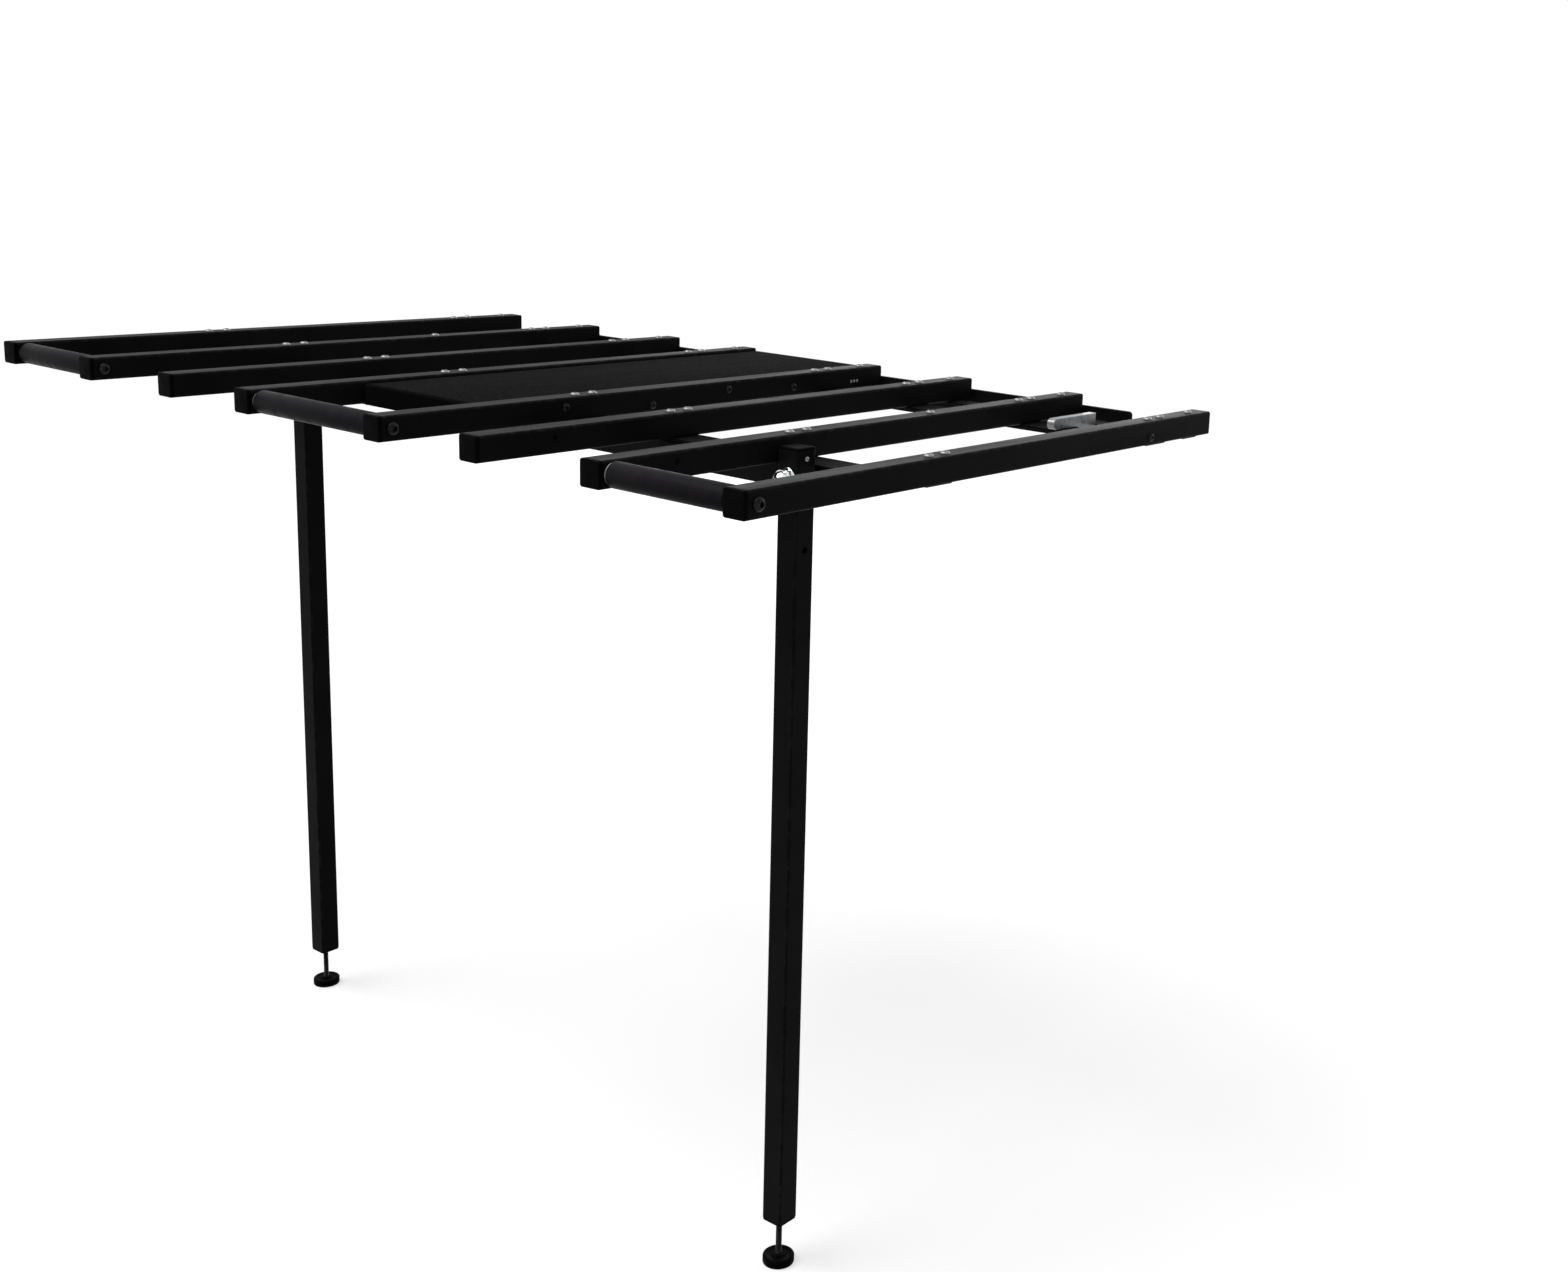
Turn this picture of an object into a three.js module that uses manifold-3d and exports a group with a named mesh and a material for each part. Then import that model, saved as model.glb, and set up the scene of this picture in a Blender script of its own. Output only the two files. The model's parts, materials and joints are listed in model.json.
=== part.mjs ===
// Folding outfeed table: black steel rails on flat cross straps, with end rollers, a middle tray
// and two swing legs.
// Frame: +X across the rails, +Y towards the machine that the table is bolted to, +Z up, in millimetres.
// The origin is the centre of the mounting face, where the mount bar meets that machine.

import * as THREE from 'three';
import { mergeVertices } from 'three/addons/utils/BufferGeometryUtils.js';
import Module from 'manifold-3d';

// Heights and reach of the whole table
const WORK_HEIGHT = 870; // floor to the top of the rails
const RAIL_TOP = 34; // top of the rails above the centre of the mounting face
const RAIL_REACH = 737; // a rail with its front cap
const END_GAP = 8; // rail ends to the mounting plane

// Rails: square tubes, placed in mirrored pairs about the middle of the table
const RAIL_SIZE = 25.4;
const RAIL_WALL = 1.6;
const TUBE_CORNER = 2.4; // outer corner radius of every tube
const TRAY_RAIL_X = 109.5;
const SINGLE_RAIL_X = 254.5;
const LEG_RAIL_X = 418.5;
const OUTER_RAIL_X = 590;

// Plastic caps in the tube ends
const CAP_HEAD = 4;
const CAP_EDGE = 1; // rounding of a cap's head
const CAP_SPIGOT = 6.5;
const CAP_SPIGOT_WALL = 2;

// Flat straps that every rail is screwed to, placed by their distance from the rail ends
const STRAP_THICKNESS = 2.5;
const STRAP_EDGE = 0.7;
const STRAP_INSET = 8; // strap ends behind the outer faces of the outer rails
const FRONT_STRAP_DEPTH = 38.1;
const FRONT_STRAP_BACK = 475.5;
const REAR_STRAP_DEPTH = 38.1;
const REAR_STRAP_BACK = 100;
const END_STRAP_DEPTH = 28;
const END_STRAP_BACK = 28.5;

// Leg beam: rectangular tube under the front strap, between the legs
const BEAM_DEPTH = 38.1;
const BEAM_HEIGHT = 25.4;
const BEAM_WALL = 2;
const BEAM_CAP_SPIGOT = 1.2; // stops short of the leg bolts

// Rollers between the front ends of three pairs of rails
const ROLLER_DIAMETER = 24;
const ROLLER_WALL = 2;
const ROLLER_CHAMFER = 0.8;
const ROLLER_SETBACK = 15.5; // roller axis behind the front ends
const ROLLER_END_GAP = 0.8; // bush flange to rail
const BUSH_FLANGE = 2.4;
const BUSH_FLANGE_STEP = 1.4; // flange rim below the roller's surface
const BUSH_SPIGOT = 12;
const AXLE_DIAMETER = 8;
const AXLE_HEAD_DIAMETER = 13;
const AXLE_HEAD_HEIGHT = 4;
const AXLE_NUT_WIDTH = 13; // across the flats
const AXLE_NUT_HEIGHT = 6;
const AXLE_TAIL = 1.5; // axle end past its nut

// Tray: folded sheet between the two middle rails
const TRAY_SHEET = 1.6;
const TRAY_LIP = 22; // folded lips at the two ends
const TRAY_BEND = 2.6; // outer radius of a fold
const TRAY_FRONT = 607; // from the rail ends to the front lip
const TRAY_REAR_GAP = 6; // rear lip in front of the rail ends
const TRAY_SIDE_GAP = 7.5;
const TRAY_DROP = 2.4; // tray top below the rail tops
const TRAY_NOTCH = 1.2; // slit at the corners between two folds

// Legs: square tubes that swing on a bolt through the front beam
const LEG_SIZE = 25.4;
const LEG_WALL = 1.6;
const LEG_STUB = 27.5; // tube above the pivot
const LEG_RAIL_GAP = 3.7;
const LEG_BEAM_GAP = 0.6;
const LEG_CAP_HEAD = 3;
const LOCK_HOLE_DIAMETER = 7;
const LOCK_HOLE_DROP = 69; // below the pivot
const PIVOT_DIAMETER = 10;
const PIVOT_RISE = 3; // leg bolts above the middle of the beam
const PIVOT_HEAD_WIDTH = 19; // across the flats
const PIVOT_HEAD_HEIGHT = 6;
const DOME_NUT_FLANGE = 23;
const DOME_NUT_FLANGE_HEIGHT = 1.6;
const DOME_NUT_HEX = 6.4;
const DOME_RADIUS = 9;
const DOME_NUT_THREAD = 9; // depth of the blind hole

// Levelling feet
const FOOT_EXTENSION = 39; // stem between the leg and the pad
const STEM_DIAMETER = 6.35;
const STEM_INSIDE = 34; // stem above the leg's lower end
const FOOT_PLUG_HEAD = 2;
const FOOT_PLUG_SPIGOT = 18;
const PAD_DIAMETER = 33;
const PAD_HEIGHT = 10;
const PAD_EDGE = 1.6;
const PAD_SOCKET = 7;

// Hinges between the frame and the mount bar
const HINGE_X = 474;
const HINGE_BACK = 19; // hinge axis in front of the mounting face
const HINGE_DROP = 8; // hinge axis below the centre of the mounting face
const EYE_RADIUS = 8;
const ARM_WIDTH = 10;
const ARM_RUN = 15; // height of the arm's lower run
const ARM_ROOM = 0.8; // arm to the straps that it passes
const ARM_HEIGHT = 12.4; // height of the end that lies on the rear strap
const ARM_NOSE = 8; // arm past the front of the rear strap
const HINGE_PIN_DIAMETER = 8;
const HINGE_PIN_HEAD = 13;
const HINGE_PIN_HEAD_HEIGHT = 3;
const HINGE_PIN_TAIL = 3;
const EAR_THICKNESS = 4;
const EAR_GAP = 0.6;
const BRACKET_BASE = 4;
const BRACKET_HEIGHT = 24;
const BRACKET_FOOT = 10; // base past the outer faces of the ears
const BRACKET_CORNER = 3;

// Mount bar
const MOUNT_BAR_END = 22; // bar past the hinge centres
const MOUNT_BAR_HEIGHT = 40;
const MOUNT_BAR_THICKNESS = 5;
const MOUNT_BAR_CORNER = 4;
const MOUNT_SLOT_LENGTH = 30;
const MOUNT_SLOT_WIDTH = 9;
const MOUNT_SLOT_XS = [-360, -150, 150, 360];

const FIT = 0.3; // clearance between neighbouring pieces
const ROUND_STEPS = 24; // facets round a turned piece
const CORNER_STEPS = 2; // half the facets of a small corner arc
const ARC_STEPS = 6;
const OVERLAP = 0.2; // depth to which joined shapes run into each other
const MERGE = 1e-4;

// Heights that follow from the sizes above
const FLOOR_Z = RAIL_TOP - WORK_HEIGHT;
const RAIL_MID_Z = RAIL_TOP - RAIL_SIZE / 2;
const RAIL_BOTTOM_Z = RAIL_TOP - RAIL_SIZE;
const STRAP_TOP_Z = RAIL_BOTTOM_Z - FIT;
const STRAP_BOTTOM_Z = STRAP_TOP_Z - STRAP_THICKNESS;
const TRAY_TOP_Z = RAIL_TOP - TRAY_DROP;
const TRAY_FLANGE = TRAY_TOP_Z - STRAP_TOP_Z - FIT; // the side flanges stand on the straps
const BEAM_MID_Z = STRAP_BOTTOM_Z - FIT - BEAM_HEIGHT / 2;
const PIVOT_Z = BEAM_MID_Z + PIVOT_RISE;
const LEG_BOTTOM_Z = FLOOR_Z + PAD_HEIGHT + FOOT_EXTENSION;
const FRONT_STRAP_Y = -END_GAP - FRONT_STRAP_BACK;
const REAR_STRAP_Y = -END_GAP - REAR_STRAP_BACK;
const END_STRAP_Y = -END_GAP - END_STRAP_BACK;
const ROLLER_Y = -END_GAP - RAIL_REACH + ROLLER_SETBACK;
const MOUNT_BAR_LENGTH = 2 * (HINGE_X + MOUNT_BAR_END);
const LEG_X = LEG_RAIL_X + RAIL_SIZE / 2 + LEG_RAIL_GAP + LEG_SIZE / 2;
const LEG_OFF_BEAM = BEAM_DEPTH / 2 + LEG_BEAM_GAP + LEG_SIZE / 2;

const BLACK_COAT = { color: 0x17171a, roughness: 0.42, metalness: 0.35 };
const TRAY_COAT = { color: 0x1f1f21, roughness: 0.7, metalness: 0.2 };
const BLACK_PLASTIC = { color: 0x101012, roughness: 0.6, metalness: 0 };
const ROLLER_SLEEVE = { color: 0x2b2a30, roughness: 0.5, metalness: 0.1 };
const GREY_NYLON = { color: 0x8d8d90, roughness: 0.55, metalness: 0 };
const BLACK_STEEL = { color: 0x1c1c1f, roughness: 0.45, metalness: 0.7 };
const BRIGHT_STEEL = { color: 0xb9bbbf, roughness: 0.3, metalness: 1 };
const CHROME = { color: 0xdcdee2, roughness: 0.12, metalness: 1 };

const wasm = await Module();
wasm.setup();

// Closed mesh with shared corners, as a solid that can be cut and joined
function toSolid(geometry) {
  const bare = geometry.clone();
  bare.deleteAttribute('normal');
  bare.deleteAttribute('uv');
  const merged = mergeVertices(bare, MERGE);
  const corners = [];
  const index = merged.index.array;
  for (let i = 0; i < index.length; i += 3) {
    const [a, b, c] = index.slice(i, i + 3);
    if (a !== b && b !== c && c !== a) corners.push(a, b, c);
  }
  const vertProperties = new Float32Array(merged.attributes.position.array);
  const triVerts = new Uint32Array(corners);
  return new wasm.Manifold(new wasm.Mesh({ numProp: 3, vertProperties, triVerts }));
}

function toGeometry(solid) {
  const mesh = solid.getMesh();
  const geometry = new THREE.BufferGeometry();
  geometry.setAttribute('position', new THREE.BufferAttribute(new Float32Array(mesh.vertProperties), 3));
  geometry.setIndex(new THREE.BufferAttribute(new Uint32Array(mesh.triVerts), 1));
  geometry.computeVertexNormals();
  return geometry;
}

function cut(body, ...tools) {
  return toGeometry(tools.reduce((rest, tool) => rest.subtract(toSolid(tool)), toSolid(body)));
}

function join(...bodies) {
  return toGeometry(bodies.map(toSolid).reduce((whole, body) => whole.add(body)));
}

// Outline of a rectangle with round corners, centred on the origin
function roundedRectangle(width, height, radius) {
  const shape = new THREE.Shape();
  const x = width / 2 - radius;
  const y = height / 2 - radius;
  const corners = [[x, -y], [x, y], [-x, y], [-x, -y]];
  corners.forEach(([cx, cy], quarter) => {
    const start = (quarter - 1) * Math.PI / 2;
    shape.absarc(cx, cy, radius, start, start + Math.PI / 2, false);
  });
  shape.closePath();
  return shape;
}

function prism(shape, depth, steps = CORNER_STEPS) {
  return new THREE.ExtrudeGeometry(shape, { depth, bevelEnabled: false, curveSegments: steps });
}

// Prisms are drawn in X and Y and rise along Z; these turn their length along Y or X
const alongY = (geometry) => geometry.rotateX(-Math.PI / 2);
const alongX = (geometry) => geometry.rotateZ(Math.PI / 2).rotateY(Math.PI / 2);

// Rectangular tube, drawn in X and Y, with its length along Z from 0
function tube(width, height, wall, corner, length, steps = CORNER_STEPS) {
  const shape = roundedRectangle(width, height, corner);
  shape.holes.push(roundedRectangle(width - 2 * wall, height - 2 * wall, Math.max(corner - wall, FIT)));
  return prism(shape, length, steps);
}

// Round bar through the origin, its length along Y
function rod(diameter, length) {
  return new THREE.CylinderGeometry(diameter / 2, diameter / 2, length, ROUND_STEPS);
}

// Turned piece from [radius, height] pairs, its axis along Y
function turned(profile) {
  return new THREE.LatheGeometry(profile.map(([r, h]) => new THREE.Vector2(r, h)), ROUND_STEPS);
}

function hexagon(acrossFlats) {
  const radius = acrossFlats / Math.sqrt(3);
  const corners = Array.from({ length: 6 }, (_, i) => {
    const angle = i * Math.PI / 3;
    return new THREE.Vector2(radius * Math.cos(angle), radius * Math.sin(angle));
  });
  return new THREE.Shape(corners);
}

const table = new THREE.Group();

function place(name, geometry, finish, x, y, z) {
  const mesh = new THREE.Mesh(geometry, new THREE.MeshStandardMaterial(finish));
  mesh.name = name;
  mesh.position.set(x, y, z);
  table.add(mesh);
  return mesh;
}

// Push-in cap for a tube: round-edged head above z = 0, hollow spigot below it
function tubeCap(width, height, wall, head, spigot) {
  const shape = roundedRectangle(width - 2 * CAP_EDGE, height - 2 * CAP_EDGE, TUBE_CORNER);
  const headBody = new THREE.ExtrudeGeometry(shape, {
    depth: head - 2 * CAP_EDGE,
    bevelThickness: CAP_EDGE,
    bevelSize: CAP_EDGE,
    bevelSegments: 1,
    curveSegments: CORNER_STEPS,
  }).translate(0, 0, CAP_EDGE);
  const play = 2 * (wall + FIT);
  const corner = Math.max(TUBE_CORNER - wall, FIT);
  const plug = tube(width - play, height - play, CAP_SPIGOT_WALL, corner, spigot + OVERLAP, 1);
  return join(headBody, plug.translate(0, 0, -spigot));
}

// Rails, numbered from the left, with the axle holes of those that carry a roller
const RAIL_XS = [
  -OUTER_RAIL_X, -LEG_RAIL_X, -SINGLE_RAIL_X, -TRAY_RAIL_X,
  TRAY_RAIL_X, SINGLE_RAIL_X, LEG_RAIL_X, OUTER_RAIL_X,
];
const ROLLERS = [
  { side: 'left', from: RAIL_XS[0], to: RAIL_XS[1] },
  { side: 'middle', from: RAIL_XS[3], to: RAIL_XS[4] },
  { side: 'right', from: RAIL_XS[6], to: RAIL_XS[7] },
];

function railGeometry(x) {
  const length = RAIL_REACH - CAP_HEAD - FIT;
  const bare = alongY(tube(RAIL_SIZE, RAIL_SIZE, RAIL_WALL, TUBE_CORNER, length)).translate(0, -length, 0);
  const carriesAxle = ROLLERS.some(({ from, to }) => x === from || x === to);
  if (!carriesAxle) return bare;
  const hole = rod(AXLE_DIAMETER + 2 * FIT, 2 * RAIL_SIZE).rotateZ(Math.PI / 2);
  return cut(bare, hole.translate(0, ROLLER_Y + END_GAP, 0));
}

RAIL_XS.forEach((x, i) => {
  place(`rail_${i + 1}`, railGeometry(x), BLACK_COAT, x, -END_GAP, RAIL_MID_Z);
  const cap = tubeCap(RAIL_SIZE, RAIL_SIZE, RAIL_WALL, CAP_HEAD, CAP_SPIGOT).rotateX(Math.PI / 2);
  place(`front_cap_${i + 1}`, cap, BLACK_PLASTIC, x, -END_GAP - RAIL_REACH + CAP_HEAD, RAIL_MID_Z);
});

// Straps under the rails
const STRAPS = [
  { end: 'front', y: FRONT_STRAP_Y, depth: FRONT_STRAP_DEPTH },
  { end: 'rear', y: REAR_STRAP_Y, depth: REAR_STRAP_DEPTH },
  { end: 'end', y: END_STRAP_Y, depth: END_STRAP_DEPTH },
];
for (const { end, y, depth } of STRAPS) {
  const half = OUTER_RAIL_X + RAIL_SIZE / 2 - STRAP_INSET;
  const strap = alongX(prism(roundedRectangle(depth, STRAP_THICKNESS, STRAP_EDGE), 2 * half));
  place(`${end}_strap`, strap.translate(-half, 0, 0), BLACK_COAT, 0, y, (STRAP_TOP_Z + STRAP_BOTTOM_Z) / 2);
}

// Leg beam with its end caps, bored for the two leg bolts
const BEAM_HALF = LEG_X + LEG_SIZE / 2;

function beamGeometry() {
  const half = BEAM_HALF - CAP_HEAD - FIT;
  const shape = tube(BEAM_HEIGHT, BEAM_DEPTH, BEAM_WALL, TUBE_CORNER, 2 * half);
  const bare = shape.rotateY(Math.PI / 2).translate(-half, 0, 0);
  const hole = rod(PIVOT_DIAMETER + 2 * FIT, 2 * BEAM_DEPTH).translate(0, 0, PIVOT_RISE);
  return cut(bare, hole.clone().translate(-LEG_X, 0, 0), hole.clone().translate(LEG_X, 0, 0));
}

place('leg_beam', beamGeometry(), BLACK_COAT, 0, FRONT_STRAP_Y, BEAM_MID_Z);
for (const [side, sign] of [['left', -1], ['right', 1]]) {
  const cap = tubeCap(BEAM_HEIGHT, BEAM_DEPTH, BEAM_WALL, CAP_HEAD, BEAM_CAP_SPIGOT);
  const x = sign * (BEAM_HALF - CAP_HEAD);
  place(`leg_beam_cap_${side}`, cap.rotateY(sign * Math.PI / 2), BLACK_PLASTIC, x, FRONT_STRAP_Y, BEAM_MID_Z);
}

// Rollers: a sleeve on two flanged bushes, turning on a bolt that spans the two rails
function sleeveGeometry(length) {
  const outer = ROLLER_DIAMETER / 2;
  const inner = outer - ROLLER_WALL;
  const half = length / 2;
  return turned([
    [inner, -half],
    [outer - ROLLER_CHAMFER, -half],
    [outer, ROLLER_CHAMFER - half],
    [outer, half - ROLLER_CHAMFER],
    [outer - ROLLER_CHAMFER, half],
    [inner, half],
    [inner, -half],
  ]).rotateZ(-Math.PI / 2);
}

// Bush with its flange above y = 0 and its spigot below
function bushGeometry() {
  const bore = AXLE_DIAMETER / 2 + FIT;
  const spigot = ROLLER_DIAMETER / 2 - ROLLER_WALL - FIT;
  const flange = ROLLER_DIAMETER / 2 - BUSH_FLANGE_STEP;
  return turned([
    [bore, -BUSH_SPIGOT],
    [spigot, -BUSH_SPIGOT],
    [spigot, 0],
    [flange, 0],
    [flange, BUSH_FLANGE],
    [bore, BUSH_FLANGE],
    [bore, -BUSH_SPIGOT],
  ]);
}

// Bolt with a low domed head above y = 0 and a plain shank below
function domedBolt(diameter, headDiameter, headHeight, shank) {
  const head = headDiameter / 2;
  return turned([
    [0, -shank],
    [diameter / 2, -shank],
    [diameter / 2, 0],
    [head, 0],
    [head, headHeight / 2],
    [head * 0.8, headHeight * 0.88],
    [head * 0.45, headHeight],
    [0, headHeight],
  ]);
}

for (const { side, from, to } of ROLLERS) {
  const left = from + RAIL_SIZE / 2 + ROLLER_END_GAP;
  const right = to - RAIL_SIZE / 2 - ROLLER_END_GAP;
  const middle = (left + right) / 2;
  const sleeve = right - left - 2 * (BUSH_FLANGE + FIT);
  place(`roller_sleeve_${side}`, sleeveGeometry(sleeve), ROLLER_SLEEVE, middle, ROLLER_Y, RAIL_MID_Z);
  const leftBush = bushGeometry().rotateZ(Math.PI / 2);
  place(`roller_bush_${side}_a`, leftBush, GREY_NYLON, left + BUSH_FLANGE, ROLLER_Y, RAIL_MID_Z);
  const rightBush = bushGeometry().rotateZ(-Math.PI / 2);
  place(`roller_bush_${side}_b`, rightBush, GREY_NYLON, right - BUSH_FLANGE, ROLLER_Y, RAIL_MID_Z);
  const headX = to + RAIL_SIZE / 2 + FIT;
  const nutX = from - RAIL_SIZE / 2 - FIT - AXLE_NUT_HEIGHT;
  const shank = headX - nutX + AXLE_TAIL;
  const axle = domedBolt(AXLE_DIAMETER, AXLE_HEAD_DIAMETER, AXLE_HEAD_HEIGHT, shank).rotateZ(-Math.PI / 2);
  place(`roller_axle_${side}`, axle, BLACK_STEEL, headX, ROLLER_Y, RAIL_MID_Z);
  const nut = cut(
    prism(hexagon(AXLE_NUT_WIDTH), AXLE_NUT_HEIGHT),
    rod(AXLE_DIAMETER + 2 * FIT, 4 * AXLE_NUT_HEIGHT).rotateX(Math.PI / 2),
  );
  place(`roller_nut_${side}`, nut.rotateY(Math.PI / 2), BLACK_STEEL, nutX, ROLLER_Y, RAIL_MID_Z);
}

// Tray: top sheet with folded side flanges, and a folded lip at each end
function traySection(width) {
  const shape = new THREE.Shape();
  const x = width / 2;
  const innerBend = TRAY_BEND - TRAY_SHEET;
  shape.moveTo(x, -TRAY_FLANGE);
  shape.absarc(x - TRAY_BEND, -TRAY_BEND, TRAY_BEND, 0, Math.PI / 2, false);
  shape.absarc(TRAY_BEND - x, -TRAY_BEND, TRAY_BEND, Math.PI / 2, Math.PI, false);
  shape.lineTo(-x, -TRAY_FLANGE);
  shape.lineTo(TRAY_SHEET - x, -TRAY_FLANGE);
  shape.absarc(TRAY_BEND - x, -TRAY_BEND, innerBend, Math.PI, Math.PI / 2, true);
  shape.absarc(x - TRAY_BEND, -TRAY_BEND, innerBend, Math.PI / 2, 0, true);
  shape.lineTo(x - TRAY_SHEET, -TRAY_FLANGE);
  shape.closePath();
  return shape;
}

// Section of a lip: a short run of the top sheet that folds down at x = 0
function lipSection() {
  const shape = new THREE.Shape();
  const innerBend = TRAY_BEND - TRAY_SHEET;
  const run = TRAY_BEND + OVERLAP;
  shape.moveTo(0, -TRAY_LIP);
  shape.lineTo(TRAY_SHEET, -TRAY_LIP);
  shape.absarc(TRAY_BEND, -TRAY_BEND, innerBend, Math.PI, Math.PI / 2, true);
  shape.lineTo(run, -TRAY_SHEET);
  shape.lineTo(run, 0);
  shape.absarc(TRAY_BEND, -TRAY_BEND, TRAY_BEND, Math.PI / 2, Math.PI, false);
  shape.closePath();
  return shape;
}

function trayGeometry() {
  const width = 2 * (TRAY_RAIL_X - RAIL_SIZE / 2 - TRAY_SIDE_GAP);
  const length = TRAY_FRONT - TRAY_REAR_GAP;
  const lipWidth = width - 2 * (TRAY_BEND + TRAY_NOTCH);
  const sheet = prism(traySection(width), length - 2 * TRAY_BEND).rotateX(Math.PI / 2);
  sheet.translate(0, length / 2 - TRAY_BEND, 0);
  const lip = prism(lipSection(), lipWidth).translate(0, 0, -lipWidth / 2).rotateX(Math.PI / 2);
  const frontLip = lip.clone().rotateZ(Math.PI / 2).translate(0, -length / 2, 0);
  const rearLip = lip.clone().rotateZ(-Math.PI / 2).translate(0, length / 2, 0);
  return join(sheet, frontLip, rearLip);
}

const TRAY_Y = -END_GAP - (TRAY_FRONT + TRAY_REAR_GAP) / 2;
place('tray_panel', trayGeometry(), TRAY_COAT, 0, TRAY_Y, TRAY_TOP_Z);

// Legs: one in front of the front beam and one behind it, so that they fold past each other
function legGeometry(outward) {
  const top = PIVOT_Z + LEG_STUB;
  const bottom = LEG_BOTTOM_Z + FOOT_PLUG_HEAD + FIT;
  const bare = tube(LEG_SIZE, LEG_SIZE, LEG_WALL, TUBE_CORNER, top - bottom);
  bare.translate(0, 0, bottom - PIVOT_Z);
  const pivotHole = rod(PIVOT_DIAMETER + 2 * FIT, 2 * LEG_SIZE);
  const lockHole = rod(LOCK_HOLE_DIAMETER, LEG_SIZE).rotateZ(Math.PI / 2);
  return cut(bare, pivotHole, lockHole.translate(outward * LEG_SIZE / 2, 0, -LOCK_HOLE_DROP));
}

// Bolt through the beam and the leg: hexagon head at y = 0, shank along -Y
function pivotBolt() {
  const shank = BEAM_DEPTH + LEG_BEAM_GAP + LEG_SIZE + 2 * FIT + DOME_NUT_THREAD - FIT;
  const bolt = rod(PIVOT_DIAMETER, shank + OVERLAP).translate(0, (OVERLAP - shank) / 2, 0);
  const head = alongY(prism(hexagon(PIVOT_HEAD_WIDTH), PIVOT_HEAD_HEIGHT));
  return join(head, bolt);
}

// Dome nut: flange, hexagon and dome that point along -Y, with a blind hole from y = 0
function domeNut() {
  const rise = DOME_NUT_FLANGE_HEIGHT + DOME_NUT_HEX;
  const hex = prism(hexagon(PIVOT_HEAD_WIDTH), rise).rotateX(Math.PI / 2);
  const flange = rod(DOME_NUT_FLANGE, DOME_NUT_FLANGE_HEIGHT).translate(0, -DOME_NUT_FLANGE_HEIGHT / 2, 0);
  const dome = new THREE.SphereGeometry(DOME_RADIUS, ROUND_STEPS, ROUND_STEPS / 2).translate(0, -rise, 0);
  const hole = rod(PIVOT_DIAMETER + 2 * FIT, 2 * DOME_NUT_THREAD);
  return cut(join(hex, flange, dome), hole);
}

// Foot: stem that screws into the plug at the leg's lower end, and a round pad
function stemGeometry() {
  const top = FOOT_EXTENSION + STEM_INSIDE;
  const bottom = FIT - PAD_SOCKET;
  return rod(STEM_DIAMETER, top - bottom).rotateX(Math.PI / 2).translate(0, 0, (top + bottom) / 2);
}

function padGeometry() {
  const rim = PAD_DIAMETER / 2;
  const bore = STEM_DIAMETER / 2 + FIT;
  return turned([
    [0, -PAD_HEIGHT],
    [rim - PAD_EDGE, -PAD_HEIGHT],
    [rim, PAD_EDGE - PAD_HEIGHT],
    [rim, -PAD_EDGE],
    [rim - PAD_EDGE * 0.3, -PAD_EDGE * 0.3],
    [rim - PAD_EDGE, 0],
    [bore, 0],
    [bore, -PAD_SOCKET],
    [0, -PAD_SOCKET],
  ]).rotateX(Math.PI / 2);
}

function footPlug() {
  const cap = tubeCap(LEG_SIZE, LEG_SIZE, LEG_WALL, FOOT_PLUG_HEAD, FOOT_PLUG_SPIGOT);
  const core = rod(2 * STEM_DIAMETER, FOOT_PLUG_SPIGOT).rotateX(Math.PI / 2);
  const bore = rod(STEM_DIAMETER + 2 * FIT, 4 * FOOT_PLUG_SPIGOT).rotateX(Math.PI / 2);
  const filled = join(cap, core.translate(0, 0, OVERLAP - FOOT_PLUG_SPIGOT / 2));
  return cut(filled, bore).rotateX(Math.PI);
}

for (const [side, sign] of [['left', -1], ['right', 1]]) {
  const x = sign * LEG_X;
  const y = FRONT_STRAP_Y - sign * LEG_OFF_BEAM;
  const turn = sign > 0 ? 0 : Math.PI;
  place(`leg_${side}`, legGeometry(sign), BLACK_COAT, x, y, PIVOT_Z);
  const topCap = tubeCap(LEG_SIZE, LEG_SIZE, LEG_WALL, LEG_CAP_HEAD, CAP_SPIGOT);
  place(`leg_top_cap_${side}`, topCap, BLACK_PLASTIC, x, y, PIVOT_Z + LEG_STUB + FIT);
  place(`foot_plug_${side}`, footPlug(), BLACK_PLASTIC, x, y, LEG_BOTTOM_Z + FOOT_PLUG_HEAD);
  place(`foot_stem_${side}`, stemGeometry(), BLACK_STEEL, x, y, FLOOR_Z + PAD_HEIGHT);
  place(`foot_pad_${side}`, padGeometry(), BLACK_PLASTIC, x, y, FLOOR_Z + PAD_HEIGHT);
  const headY = FRONT_STRAP_Y + sign * (BEAM_DEPTH / 2 + FIT);
  place(`leg_pivot_bolt_${side}`, pivotBolt(), BLACK_STEEL, x, headY, PIVOT_Z).rotation.z = turn;
  const nutY = y - sign * (LEG_SIZE / 2 + FIT);
  place(`leg_dome_nut_${side}`, domeNut(), CHROME, x, nutY, PIVOT_Z).rotation.z = turn;
}

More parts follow.
